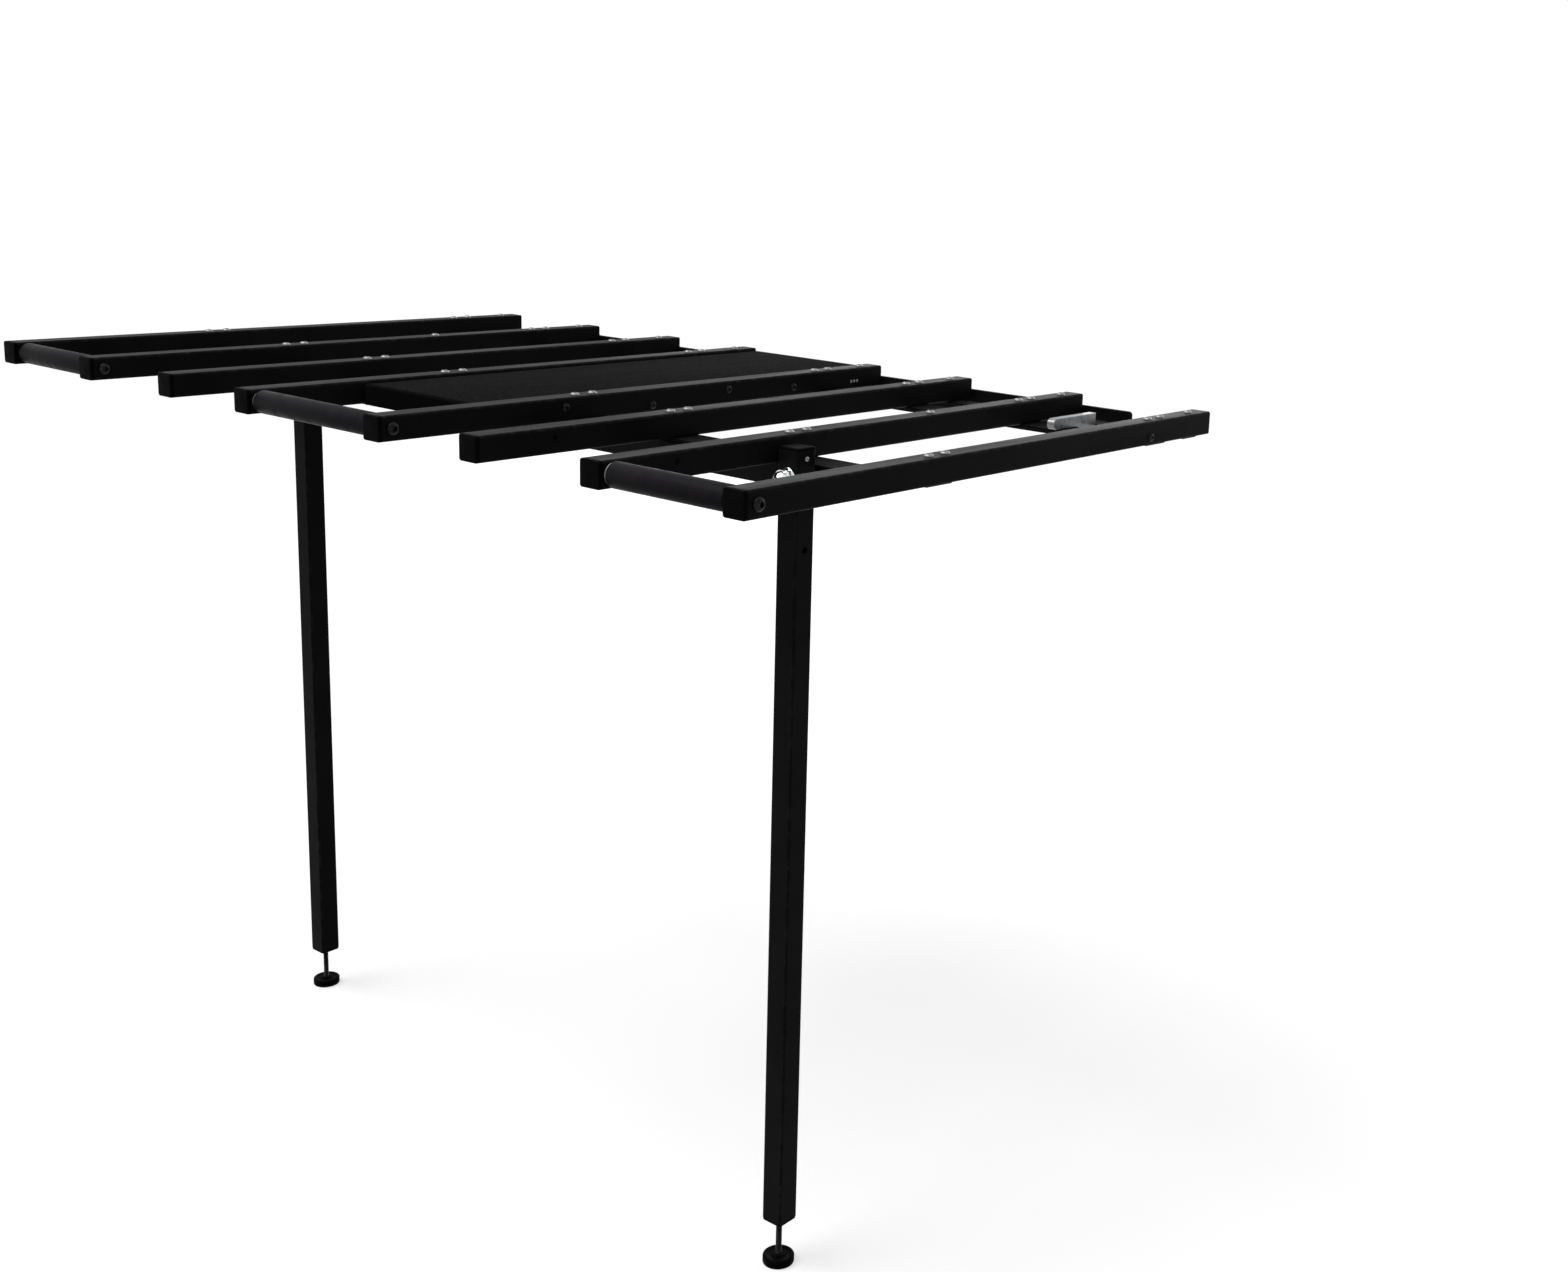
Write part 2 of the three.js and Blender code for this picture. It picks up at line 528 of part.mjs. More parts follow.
// Hinge arm: an eye, a lower run under the end strap and an end that lies on the rear strap.
// Its section is drawn from the hinge axis, with Y as x and Z as y.
function armGeometry() {
  const axisZ = -HINGE_DROP;
  const step = END_STRAP_Y - END_STRAP_DEPTH / 2 - ARM_ROOM + HINGE_BACK;
  const ceiling = STRAP_BOTTOM_Z - ARM_ROOM - axisZ;
  const strapBack = REAR_STRAP_Y + REAR_STRAP_DEPTH / 2 + ARM_ROOM + HINGE_BACK;
  const seat = STRAP_TOP_Z + FIT - axisZ;
  const nose = REAR_STRAP_Y - REAR_STRAP_DEPTH / 2 - ARM_NOSE + HINGE_BACK;
  const round = ARM_HEIGHT / 2;
  const shape = new THREE.Shape();
  shape.absarc(0, 0, EYE_RADIUS, -Math.PI / 2, Math.PI / 2, false);
  shape.lineTo(-EYE_RADIUS, ceiling);
  shape.lineTo(step, ceiling);
  shape.lineTo(step, seat + ARM_HEIGHT);
  shape.absarc(nose + round, seat + round, round, Math.PI / 2, Math.PI * 1.5, false);
  shape.lineTo(strapBack, seat);
  shape.lineTo(strapBack, ceiling - ARM_RUN);
  shape.closePath();
  const plate = prism(shape, ARM_WIDTH, ARC_STEPS);
  const hole = rod(HINGE_PIN_DIAMETER + 2 * FIT, 4 * ARM_WIDTH).rotateX(Math.PI / 2);
  return alongX(cut(plate.translate(0, 0, -ARM_WIDTH / 2), hole));
}

// Hinge bracket: a base plate on the mount bar with two round-nosed ears, drawn from the hinge axis
function bracketGeometry() {
  const baseBack = HINGE_BACK - MOUNT_BAR_THICKNESS - FIT;
  const root = baseBack - BRACKET_BASE + OVERLAP;
  const inner = ARM_WIDTH / 2 + EAR_GAP;
  const shape = new THREE.Shape();
  shape.moveTo(root, EYE_RADIUS);
  shape.absarc(0, 0, EYE_RADIUS, Math.PI / 2, Math.PI * 1.5, false);
  shape.lineTo(root, -EYE_RADIUS);
  shape.closePath();
  const ear = alongX(prism(shape, EAR_THICKNESS, ARC_STEPS));
  const rightEar = ear.clone().translate(inner, 0, 0);
  const leftEar = ear.clone().translate(-inner - EAR_THICKNESS, 0, 0);
  const width = 2 * (inner + EAR_THICKNESS + BRACKET_FOOT);
  const base = alongY(prism(roundedRectangle(width, BRACKET_HEIGHT, BRACKET_CORNER), BRACKET_BASE));
  const hole = rod(HINGE_PIN_DIAMETER + 2 * FIT, 2 * width).rotateZ(Math.PI / 2);
  return cut(join(base.translate(0, baseBack - BRACKET_BASE, 0), leftEar, rightEar), hole);
}

for (const [side, sign] of [['left', -1], ['right', 1]]) {
  const x = sign * HINGE_X;
  place(`hinge_arm_${side}`, armGeometry(), BRIGHT_STEEL, x, -HINGE_BACK, -HINGE_DROP);
  place(`hinge_bracket_${side}`, bracketGeometry(), BLACK_COAT, x, -HINGE_BACK, -HINGE_DROP);
  const reach = ARM_WIDTH / 2 + EAR_GAP + EAR_THICKNESS + FIT;
  const shank = 2 * reach + HINGE_PIN_TAIL;
  const pin = domedBolt(HINGE_PIN_DIAMETER, HINGE_PIN_HEAD, HINGE_PIN_HEAD_HEIGHT, shank);
  place(`hinge_pin_${side}`, pin.rotateZ(-Math.PI / 2), BRIGHT_STEEL, x + reach, -HINGE_BACK, -HINGE_DROP);
}

// Mount bar with slots for the bolts that hold it
function mountBarGeometry() {
  const shape = roundedRectangle(MOUNT_BAR_LENGTH, MOUNT_BAR_HEIGHT, MOUNT_BAR_CORNER);
  const radius = MOUNT_SLOT_WIDTH / 2;
  const straight = MOUNT_SLOT_LENGTH / 2 - radius;
  for (const x of MOUNT_SLOT_XS) {
    const slot = new THREE.Path();
    slot.absarc(x + straight, 0, radius, -Math.PI / 2, Math.PI / 2, false);
    slot.absarc(x - straight, 0, radius, Math.PI / 2, Math.PI * 1.5, false);
    slot.closePath();
    shape.holes.push(slot);
  }
  return alongY(prism(shape, MOUNT_BAR_THICKNESS)).translate(0, -MOUNT_BAR_THICKNESS, 0);
}

place('mount_bar', mountBarGeometry(), BLACK_COAT, 0, 0, 0);

export default table;
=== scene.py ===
# %% [markdown]
# # A folding outfeed table
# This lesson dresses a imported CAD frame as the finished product: black powder-coated rails on flat straps,
# three end rollers, a folded tray and two swing legs. The frame gives every place and overall size: each
# new piece reads the box of the CAD node that it stands for and is drawn inside it. Only walls, radii and
# the small fasteners are written here.

# %% Load the frame
import json
import math

import bmesh
import bpy
import numpy as np
from mathutils import Matrix, Quaternion, Vector


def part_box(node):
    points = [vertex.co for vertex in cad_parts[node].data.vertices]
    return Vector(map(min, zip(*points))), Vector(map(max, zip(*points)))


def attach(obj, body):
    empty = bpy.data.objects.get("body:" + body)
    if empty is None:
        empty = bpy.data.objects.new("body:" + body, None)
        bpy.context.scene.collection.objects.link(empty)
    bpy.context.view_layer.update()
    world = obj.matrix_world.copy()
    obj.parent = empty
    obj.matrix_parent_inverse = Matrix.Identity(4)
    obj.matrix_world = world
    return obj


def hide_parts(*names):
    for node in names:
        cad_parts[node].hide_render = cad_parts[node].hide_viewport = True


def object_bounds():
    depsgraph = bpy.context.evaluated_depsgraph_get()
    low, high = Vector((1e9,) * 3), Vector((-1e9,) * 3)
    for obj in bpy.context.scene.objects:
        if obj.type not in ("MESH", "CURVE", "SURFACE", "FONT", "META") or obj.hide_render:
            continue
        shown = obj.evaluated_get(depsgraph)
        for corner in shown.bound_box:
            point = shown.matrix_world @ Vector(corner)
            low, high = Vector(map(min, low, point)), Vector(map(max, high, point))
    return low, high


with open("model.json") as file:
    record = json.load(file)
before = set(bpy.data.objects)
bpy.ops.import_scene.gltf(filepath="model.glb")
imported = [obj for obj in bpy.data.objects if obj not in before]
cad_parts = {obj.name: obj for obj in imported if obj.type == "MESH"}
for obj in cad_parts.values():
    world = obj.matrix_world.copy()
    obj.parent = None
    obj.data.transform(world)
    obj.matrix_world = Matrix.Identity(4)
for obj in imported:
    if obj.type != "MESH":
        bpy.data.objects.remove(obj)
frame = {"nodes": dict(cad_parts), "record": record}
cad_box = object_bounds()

# %% [markdown]
# ## The camera
# A product photograph often has its horizon off the middle of the picture, because it was cropped.
# Blender's lens shift does the same: the view direction stays where it is and only the frame slides. The
# place, the gaze and the focal length were found by fitting straight rails and legs to the photograph, so
# the camera is written as an eye point and a gaze, with a small roll, and not as a list of matrix entries.

# %% Camera
IMAGE_WIDTH, IMAGE_HEIGHT = 1568, 1272
EYE = Vector((1.6023, -1.7738, 0.3095))
GAZE = Vector((-0.5698, 0.7945, -0.2100)).normalized()
ROLL = math.radians(2.794)
FOCAL_PIXELS = 1816.0
LENS_CENTRE_X, LENS_CENTRE_Y = 1010.0, 540.0


def look_along(eye, gaze, roll):
    """Camera matrix: its right and up axes are square to the gaze, then both turn by the roll."""
    level = gaze.cross(Vector((0, 0, 1))).normalized()
    upright = level.cross(gaze)
    right = level * math.cos(roll) + upright * math.sin(roll)
    up = upright * math.cos(roll) - level * math.sin(roll)
    turn = Matrix((right, up, -gaze)).transposed().to_4x4()
    return Matrix.Translation(eye) @ turn


lens = bpy.data.cameras.new("photo_camera")
lens.sensor_fit = "HORIZONTAL"
lens.lens = FOCAL_PIXELS / IMAGE_WIDTH * lens.sensor_width
lens.shift_x = (IMAGE_WIDTH / 2 - LENS_CENTRE_X) / IMAGE_WIDTH
lens.shift_y = (LENS_CENTRE_Y - IMAGE_HEIGHT / 2) / IMAGE_WIDTH
camera = bpy.data.objects.new("photo_camera", lens)
bpy.context.scene.collection.objects.link(camera)
camera.matrix_world = look_along(EYE, GAZE, ROLL)
bpy.context.scene.camera = camera
print(f"camera: {lens.lens:.1f} mm lens, shift {lens.shift_x:.3f}, {lens.shift_y:.3f}")

# %% [markdown]
# ## Building blocks of a finish
# Every finish is a Principled shader fed by a few noise textures on Object coordinates. All pieces sit at
# the origin with their place in their mesh, so Object coordinates are metres on the table itself: a noise
# scale of 1000 gives grains of about a millimetre. Only colour, roughness and normal are linked; whatever
# is the same all over is set on the shader's own socket.

# %% Finish helpers
MM = 0.001
UP_FROM, UP_FULL = 0.8, 0.98


def start_finish(name, metallic, **sockets):
    """A material with its Principled shader and Object coordinates, the constants set on the sockets."""
    material = bpy.data.materials.new(name)
    material.use_nodes = True
    tree = material.node_tree
    shader = tree.nodes["Principled BSDF"]
    shader.inputs["Metallic"].default_value = metallic
    for socket, value in sockets.items():
        shader.inputs[socket.replace("_", " ")].default_value = value
    where = tree.nodes.new("ShaderNodeTexCoord")
    return material, tree, shader, where.outputs["Object"]


def add_noise(tree, where, scale, detail=3.0, stretch=(1, 1, 1)):
    """Noise from 0 to 1 with grains of 1/scale metres; stretch below 1 on an axis draws them out along it."""
    mapping = tree.nodes.new("ShaderNodeMapping")
    mapping.inputs["Scale"].default_value = stretch
    texture = tree.nodes.new("ShaderNodeTexNoise")
    texture.inputs["Scale"].default_value = scale
    texture.inputs["Detail"].default_value = detail
    tree.links.new(where, mapping.inputs["Vector"])
    tree.links.new(mapping.outputs["Vector"], texture.inputs["Vector"])
    return texture.outputs["Fac"]


def spread(tree, source, low, high, start=0.3, end=0.7):
    """Maps the middle of a source's range, start to end, onto low to high."""
    node = tree.nodes.new("ShaderNodeMapRange")
    node.inputs["From Min"].default_value = start
    node.inputs["From Max"].default_value = end
    node.inputs["To Min"].default_value = low
    node.inputs["To Max"].default_value = high
    tree.links.new(source, node.inputs["Value"])
    return node.outputs["Result"]


def blend_colours(tree, amount, first, second):
    """Colour that goes from first to second with the amount; each is a colour or another node's output."""
    node = tree.nodes.new("ShaderNodeMix")
    node.data_type = "RGBA"
    tree.links.new(amount, node.inputs["Factor"])
    for socket, colour in (("A", first), ("B", second)):
        target = [s for s in node.inputs if s.name == socket and s.type == "RGBA"][0]
        if isinstance(colour, tuple):
            target.default_value = (*colour, 1)
        else:
            tree.links.new(colour, target)
    return [s for s in node.outputs if s.type == "RGBA"][0]


def combine(tree, operation, first, second):
    """A calculation with two node outputs: their product, or the larger of the two."""
    node = tree.nodes.new("ShaderNodeMath")
    node.operation = operation
    tree.links.new(first, node.inputs[0])
    tree.links.new(second, node.inputs[1])
    return node.outputs["Value"]


def dress_shader(tree, shader, colour, roughness, height, strength, depth):
    """Links colour and roughness, and a bump of height times depth, in metres, for the shading only."""
    bump = tree.nodes.new("ShaderNodeBump")
    bump.inputs["Strength"].default_value = strength
    bump.inputs["Distance"].default_value = depth
    tree.links.new(height, bump.inputs["Height"])
    sources = {"Base Color": colour, "Roughness": roughness, "Normal": bump.outputs["Normal"]}
    for socket, source in sources.items():
        tree.links.new(source, shader.inputs[socket])


def facing_up(tree):
    """1 on faces that look straight up, 0 on the others: where dust, hand marks and a painted sheen go."""
    geometry = tree.nodes.new("ShaderNodeNewGeometry")
    split = tree.nodes.new("ShaderNodeSeparateXYZ")
    tree.links.new(geometry.outputs["Normal"], split.inputs["Vector"])
    return spread(tree, split.outputs["Z"], 0, 1, UP_FROM, UP_FULL)


print("finish helpers ready")

# %% [markdown]
# ## Powder coat
# The steel is sprayed with dry powder and baked. The skin is nearly black, has a fine orange peel and
# shines most at a flat angle, which makes the rail tops pale in the photograph. A coat like this is a
# dielectric over steel, so Metallic stays 0. Its mirror level is low, because in a white room the
# reflections seen square on would turn the black sides grey; at a flat angle it mirrors all the same. Long
# soft streaks in the roughness run the way that boards slide. Faces that look up are lightened by a trace
# of sawdust and a painted sheen. Along the bent corners, where the attribute called edge is 1, the powder
# is thinner and a painted highlight lightens it as well.

# %% Powder coat
COAT_BLACK = (0.0045, 0.0045, 0.0048)
COAT_SOFT_BLACK = (0.0085, 0.0085, 0.009)
TRAY_BLACK = (0.003, 0.003, 0.0032)
TRAY_SOFT_BLACK = (0.0045, 0.0045, 0.0048)
# Sawdust and a painted sheen: the next colour lightens faces that look up.
SAWDUST_AND_SHEEN = (0.024, 0.023, 0.0215)
# Wear and a painted edge highlight: the next colour lightens the corners.
RUBBED_EDGE_AND_HIGHLIGHT = (0.024, 0.024, 0.025)
CLOUDS, DUST_AND_SHEEN_GRAIN, RUBBING_AND_HIGHLIGHT_GRAIN, STREAKS, PEEL = 14, 260, 90, 60, 700
MOST_DUST_AND_SHEEN, MOST_RUBBED_AND_LIT = 0.5, 0.8
ALONG_THE_RAILS = (1, 0.06, 1)


def powder_coat(name, dark, light, smooth, rough, shine):
    """Peel in the normal, streaks in roughness; in colour, dust with painted sheen and wear with painted
    highlight.
    """
    material, tree, shader, where = start_finish(name, 0.0, IOR=1.5, Specular_IOR_Level=shine)
    clouds = spread(tree, add_noise(tree, where, CLOUDS, 4), 0, 1)
    colour = blend_colours(tree, clouds, dark, light)
    # Sawdust and a painted sheen, mixed into the colour on faces that look up.
    dust_and_sheen_specks = spread(tree, add_noise(tree, where, DUST_AND_SHEEN_GRAIN, 6), 0, MOST_DUST_AND_SHEEN, start=0.45, end=0.8)
    dust_and_sheen = combine(tree, "MULTIPLY", facing_up(tree), dust_and_sheen_specks)
    colour = blend_colours(tree, dust_and_sheen, colour, SAWDUST_AND_SHEEN)
    # Rubbed powder and a painted edge highlight, mixed into the colour along the corners.
    edge = tree.nodes.new("ShaderNodeAttribute")
    edge.attribute_name = "edge"
    patches = spread(tree, add_noise(tree, where, RUBBING_AND_HIGHLIGHT_GRAIN, 5), 0, MOST_RUBBED_AND_LIT, start=0.45, end=0.75)
    rubbed_and_lit = combine(tree, "MULTIPLY", edge.outputs["Fac"], patches)
    colour = blend_colours(tree, rubbed_and_lit, colour, RUBBED_EDGE_AND_HIGHLIGHT)
    streaks = spread(tree, add_noise(tree, where, STREAKS, 4, ALONG_THE_RAILS), smooth, rough)
    peel = add_noise(tree, where, PEEL, 2)
    dress_shader(tree, shader, colour, streaks, peel, strength=0.12, depth=0.4 * MM)
    return material


black_coat = powder_coat(
    "black_powder_coat", COAT_BLACK, COAT_SOFT_BLACK, smooth=0.40, rough=0.52, shine=0.02
)
tray_coat = powder_coat(
    "tray_powder_coat", TRAY_BLACK, TRAY_SOFT_BLACK, smooth=0.70, rough=0.76, shine=0.003
)
print("finishes:", black_coat.name, "and", tray_coat.name)

# %% [markdown]
# ## Plastics, rubber-like sleeves and metals
# The caps and pads are moulded black plastic with a fine spark-eroded grain. The roller sleeves are dark
# with a faint violet brown, and boards have polished rings round them, so their noise is stretched round
# the roller. Zinc has soft crystals and a white bloom, which is why it is not wholly metallic here. Black
# oxide is a dull dark steel, and chrome only needs faint smears, because what it shows is the room.

# %% Plastics and metals
MOTTLE, SMEARS, RINGS, SKIN = 40, 120, 90, 500
ROUND_THE_ROLLER = (1, 0.05, 0.05)


def moulded(name, dark, light, smooth, rough, shine, grain):
    """Plastic: two tones in slow clouds and a fine grain in the normal."""
    material, tree, shader, where = start_finish(name, 0.0, IOR=1.46, Specular_IOR_Level=shine)
    clouds = spread(tree, add_noise(tree, where, MOTTLE, 4), 0, 1)
    colour = blend_colours(tree, clouds, dark, light)
    smears = spread(tree, add_noise(tree, where, SMEARS, 5), smooth, rough)
    skin = add_noise(tree, where, grain, 2)
    dress_shader(tree, shader, colour, smears, skin, strength=0.15, depth=0.2 * MM)
    return material


def roller_cover(name, dark, light, smooth, rough, shine):
    """Sleeve: rings worn round the roller, so the noise is fine along the axis and long round it."""
    material, tree, shader, where = start_finish(name, 0.0, IOR=1.5, Specular_IOR_Level=shine)
    rings = add_noise(tree, where, RINGS, 5, ROUND_THE_ROLLER)
    colour = blend_colours(tree, spread(tree, rings, 0, 1), dark, light)
    worn = spread(tree, rings, smooth, rough)
    skin = add_noise(tree, where, SKIN, 3)
    dress_shader(tree, shader, colour, worn, skin, strength=0.12, depth=0.3 * MM)
    return material


def metal(name, dark, light, smooth, rough, marks, metallic=1.0):
    """Bare or plated metal: colour and roughness follow one noise of crystals or tool marks."""
    material, tree, shader, where = start_finish(name, metallic)
    noise = add_noise(tree, where, marks, 5)
    colour = blend_colours(tree, spread(tree, noise, 0, 1), dark, light)
    dulled = spread(tree, noise, smooth, rough)
    dress_shader(tree, shader, colour, dulled, noise, strength=0.08, depth=0.2 * MM)
    return material


black_plastic = moulded(
    "black_plastic", (0.0018, 0.0018, 0.0019), (0.0036, 0.0036, 0.0038),
    smooth=0.42, rough=0.58, shine=0.012, grain=1800,
)
grey_nylon = moulded(
    "grey_nylon", (0.30, 0.30, 0.31), (0.38, 0.38, 0.39), smooth=0.4, rough=0.55, shine=0.35, grain=900
)
sleeve_cover = roller_cover(
    "roller_cover", (0.0092, 0.0083, 0.0098), (0.015, 0.0135, 0.0152), smooth=0.34, rough=0.52, shine=0.022
)
black_steel = metal(
    "black_oxide_steel", (0.007, 0.007, 0.0075), (0.018, 0.018, 0.019), smooth=0.34, rough=0.5, marks=300
)
# The zinc's colour is set far below that of bare zinc, as painted shade, so arms and screws stay dim.
zinc_with_painted_shade = metal(
    "zinc_plate_with_painted_shade", (0.17, 0.174, 0.18), (0.27, 0.274, 0.28), smooth=0.26, rough=0.42, marks=180, metallic=0.7
)
chrome = metal("chrome_plate", (0.74, 0.75, 0.77), (0.80, 0.81, 0.83), smooth=0.12, rough=0.22, marks=60)
FINISH_OF_SLOT = {
    "black_coat": black_coat,
    "tray_coat": tray_coat,
    "black_plastic": black_plastic,
    "roller_sleeve": sleeve_cover,
    "grey_nylon": grey_nylon,
    "black_steel": black_steel,
    "bright_steel": zinc_with_painted_shade,
    "chrome": chrome,
}
for subpart in frame["record"]["subparts"]:
    mesh = frame["nodes"][subpart["node"]].data
    mesh.materials.clear()
    mesh.materials.append(FINISH_OF_SLOT[subpart["material_slot"]])
print("finishes:", ", ".join(FINISH_OF_SLOT))

# %% [markdown]
# ## From arrays to a piece
# Each shape below is a grid of points: the rows follow one parameter and the columns close round the other.
# Neighbouring rows are joined with quads in one array expression. A row that shrinks to a point becomes a
# pole when doubles are merged, and the normals are then recalculated so that every closed shell faces
# outwards. A plate with a bent outline cannot shrink to a point, so it gets one flat face at each end
# instead.

# %% Mesh helpers
MERGE_DISTANCE = 1e-7
CREASE = 32


def grid_faces(rows, columns):
    """Quads between neighbouring rows of a grid whose last column joins its first."""
    row = np.arange(rows - 1)[:, None] * columns
    here = np.arange(columns)[None, :]
    beside = (here + 1) % columns
    corners = [row + here, row + beside, row + columns + beside, row + columns + here]
    return np.stack(corners, -1).reshape(-1, 4)


def grids_to_mesh(name, grids, edge=None, flat_ends=False):
    """Closed grids (rows x columns x 3, metres) in one mesh, poles merged and all faces looking outwards."""
    starts = np.cumsum([0] + [g.shape[0] * g.shape[1] for g in grids[:-1]])
    points = np.concatenate([g.reshape(-1, 3) for g in grids])
    faces = np.concatenate([grid_faces(*g.shape[:2]) + s for g, s in zip(grids, starts)]).tolist()
    if flat_ends:
        rings = [(s, s + (g.shape[0] - 1) * g.shape[1], g.shape[1]) for g, s in zip(grids, starts)]
        faces += [list(range(at, at + n)) for first, last, n in rings for at in (first, last)]
    mesh = bpy.data.meshes.new(name)
    mesh.from_pydata(points.tolist(), [], faces)
    if edge is not None:
        attribute = mesh.attributes.new("edge", "FLOAT", "POINT")
        attribute.data.foreach_set("value", np.concatenate([e.ravel() for e in edge]).astype(np.float32))
    work = bmesh.new()
    work.from_mesh(mesh)
    bmesh.ops.remove_doubles(work, verts=work.verts, dist=MERGE_DISTANCE)
    bmesh.ops.recalc_face_normals(work, faces=work.faces)
    work.to_mesh(mesh)
    work.free()
    return mesh


def make_piece(name, mesh, body, slot, stands_for=(), crease=CREASE):
    """An object from a mesh, smooth but for creases, that rides on a body and takes a slot's finish."""
    mesh.shade_smooth()
    mesh.set_sharp_from_angle(angle=math.radians(crease))
    mesh.materials.clear()
    mesh.materials.append(FINISH_OF_SLOT[slot])
    piece = bpy.data.objects.new(name, mesh)
    bpy.context.scene.collection.objects.link(piece)
    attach(piece, body)
    if stands_for:
        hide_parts(*stands_for)
    return piece


def make_grids(name, grids, body, slot, stands_for=(), edge=None):
    """A piece straight from its grids, for shapes that need no drilling."""
    return make_piece(name, grids_to_mesh(name, grids, edge), body, slot, stands_for)


def node_box(name):
    """Lowest and highest corner of a CAD node, and its centre, as arrays in metres."""
    low, high = (np.array(corner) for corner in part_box(name))
    return low, high, (low + high) / 2


def redraw(node, name, shape, body, slot, *more):
    """The piece that stands for a CAD node, with a grid that a shape function draws from the node's box."""
    grid = shape(*node_box(node), *more)
    make_grids(name, [grid], body, slot, [node])
    return grid


print("a 3 x 4 grid has", len(grid_faces(3, 4)), "faces")

# %% [markdown]
# ## Square tubes
# Rails, legs and the leg beam are one outline carried along a line: out along the outside, over the end and
# back along the inside, so the wall has its true thickness and the tube is really hollow. The outline is
# four quarter circles joined by flats. One extra point stands just past each end of a quarter, so that the
# edge attribute falls to zero right beside the corner and does not smear over the whole face.

# %% Tube outline
X, Y, Z = 0, 1, 2
TUBE_WALL = 1.6 * MM
TUBE_CORNER = 2.4 * MM
EDGE_FADE = 0.8 * MM
CORNER_STEPS = 6


def tube_outline(width, height, radius):
    """Four quarter circles about the corner centres, each between two points where wear and painted highlight
    fade.
    """
    angles = np.linspace(0, np.pi / 2, CORNER_STEPS + 1)
    quarters = np.arange(4)[:, None] * np.pi / 2
    side_x = np.array([1, -1, -1, 1])[:, None] * (width / 2 - radius)
    side_y = np.array([1, 1, -1, -1])[:, None] * (height / 2 - radius)
    turns = quarters + angles
    arc = np.stack([side_x + radius * np.cos(turns), side_y + radius * np.sin(turns)], -1)
    along = np.stack([-np.sin(quarters), np.cos(quarters)], -1)
    before = arc[:, :1] - EDGE_FADE * along
    turned = np.stack([-np.sin(quarters + np.pi / 2), np.cos(quarters + np.pi / 2)], -1)
    after = arc[:, -1:] + EDGE_FADE * turned
    return np.concatenate([before, arc, after], 1).reshape(-1, 2)


def carry(axis, outlines, places, centre):
    """Outlines in the two other axes, drawn round the centre, each at its own place along the axis."""
    flat = np.stack(outlines)
    across = [other for other in (X, Y, Z) if other != axis]
    points = np.empty((*flat.shape[:2], 3))
    points[..., across] = flat + np.array(centre)[across]
    points[..., axis] = np.array(places)[:, None]
    return points


def tube_grid(axis, low, high, wall, ease):
    """Outside from the start to the end of a box, over the eased ends, and back along the inside."""
    width, height = np.delete(high - low, axis)
    outer = tube_outline(width, height, TUBE_CORNER)
    eased = tube_outline(width - 2 * ease, height - 2 * ease, TUBE_CORNER - ease)
    inner = tube_outline(width - 2 * wall, height - 2 * wall, TUBE_CORNER - wall)
    start, end = low[axis], high[axis]
    places = [start, start, start + ease, end - ease, end, end, start]
    return carry(axis, [inner, eased, outer, outer, eased, inner, inner], places, (low + high) / 2)


def rubbed_and_lit_corners(grid):
    """Edge attribute of a tube, for wear and painted highlight: 1 on the quarters of both full outlines, else
    0.
    """
    weight = np.zeros(grid.shape[:2])
    weight[2:4] = np.tile(np.r_[0.0, np.ones(CORNER_STEPS + 1), 0.0], 4)
    return weight


print("outline points:", len(tube_outline(25 * MM, 25 * MM, TUBE_CORNER)))

# %% [markdown]
# The eight rails carry the work. Each is cut from the same tube, with a chamfer at both ends where the cut
# was filed, so one helper and a loop over the CAD boxes draw them all.

# %% Rails
RAIL_COUNT = 8
RAIL_CHAMFER = 0.35 * MM

rails = {i: node_box(f"rail_{i}") for i in range(1, RAIL_COUNT + 1)}
for i, (low, high, centre) in rails.items():
    grid = tube_grid(Y, low, high, TUBE_WALL, RAIL_CHAMFER)
    rubbed_and_lit = [rubbed_and_lit_corners(grid)]
    make_grids(f"rail_tube_{i}", [grid], "table_frame", "black_coat", [f"rail_{i}"], edge=rubbed_and_lit)
print("rails:", len(rails), "of", f"{(rails[1][1] - rails[1][0])[Y] * 1000:.0f} mm")

# %% [markdown]
# The caps are pushed into the tube ends. A cap is the same outline, drawn smaller and smaller: the plug,
# the back of the head, a rim that follows a quarter circle, and a face that crowns by a fraction of a
# millimetre, which catches the light as a moulded face does. At the hinge end a flat plug closes the tube
# just inside it.

# %% Front caps and rear plugs
CAP_ROUND = 1.3 * MM
CAP_CROWN = 0.35 * MM
CAP_HEAD = 4.0 * MM
CAP_STEPS = 6
FACE_SHARE = 0.85
PLUG_PLAY = 0.3 * MM
REAR_PLUG_DEPTH = 8.0 * MM
REAR_PLUG_INSET = 0.6 * MM


def cap_rows(width, height, wall, head, plug):
    """Outlines and heights of a cap: plug below zero, then a head with a quarter-round rim and a crown."""
    play = 2 * (wall + PLUG_PLAY)
    plug_line = tube_outline(width - play, height - play, TUBE_CORNER / 2)
    turn = np.linspace(0, np.pi / 2, CAP_STEPS)
    insets = CAP_ROUND * (1 - np.cos(turn))
    rims = [tube_outline(width - 2 * d, height - 2 * d, TUBE_CORNER) for d in insets]
    rim_heights = head - CAP_CROWN - CAP_ROUND * (1 - np.sin(turn))
    shares = np.linspace(FACE_SHARE, 0, CAP_STEPS)
    faces = [rims[-1] * share for share in shares]
    outlines = [plug_line * 0, plug_line, plug_line, rims[0], *rims, *faces]
    return outlines, np.r_[-plug, -plug, 0, 0, rim_heights, head - CAP_CROWN * shares**2]


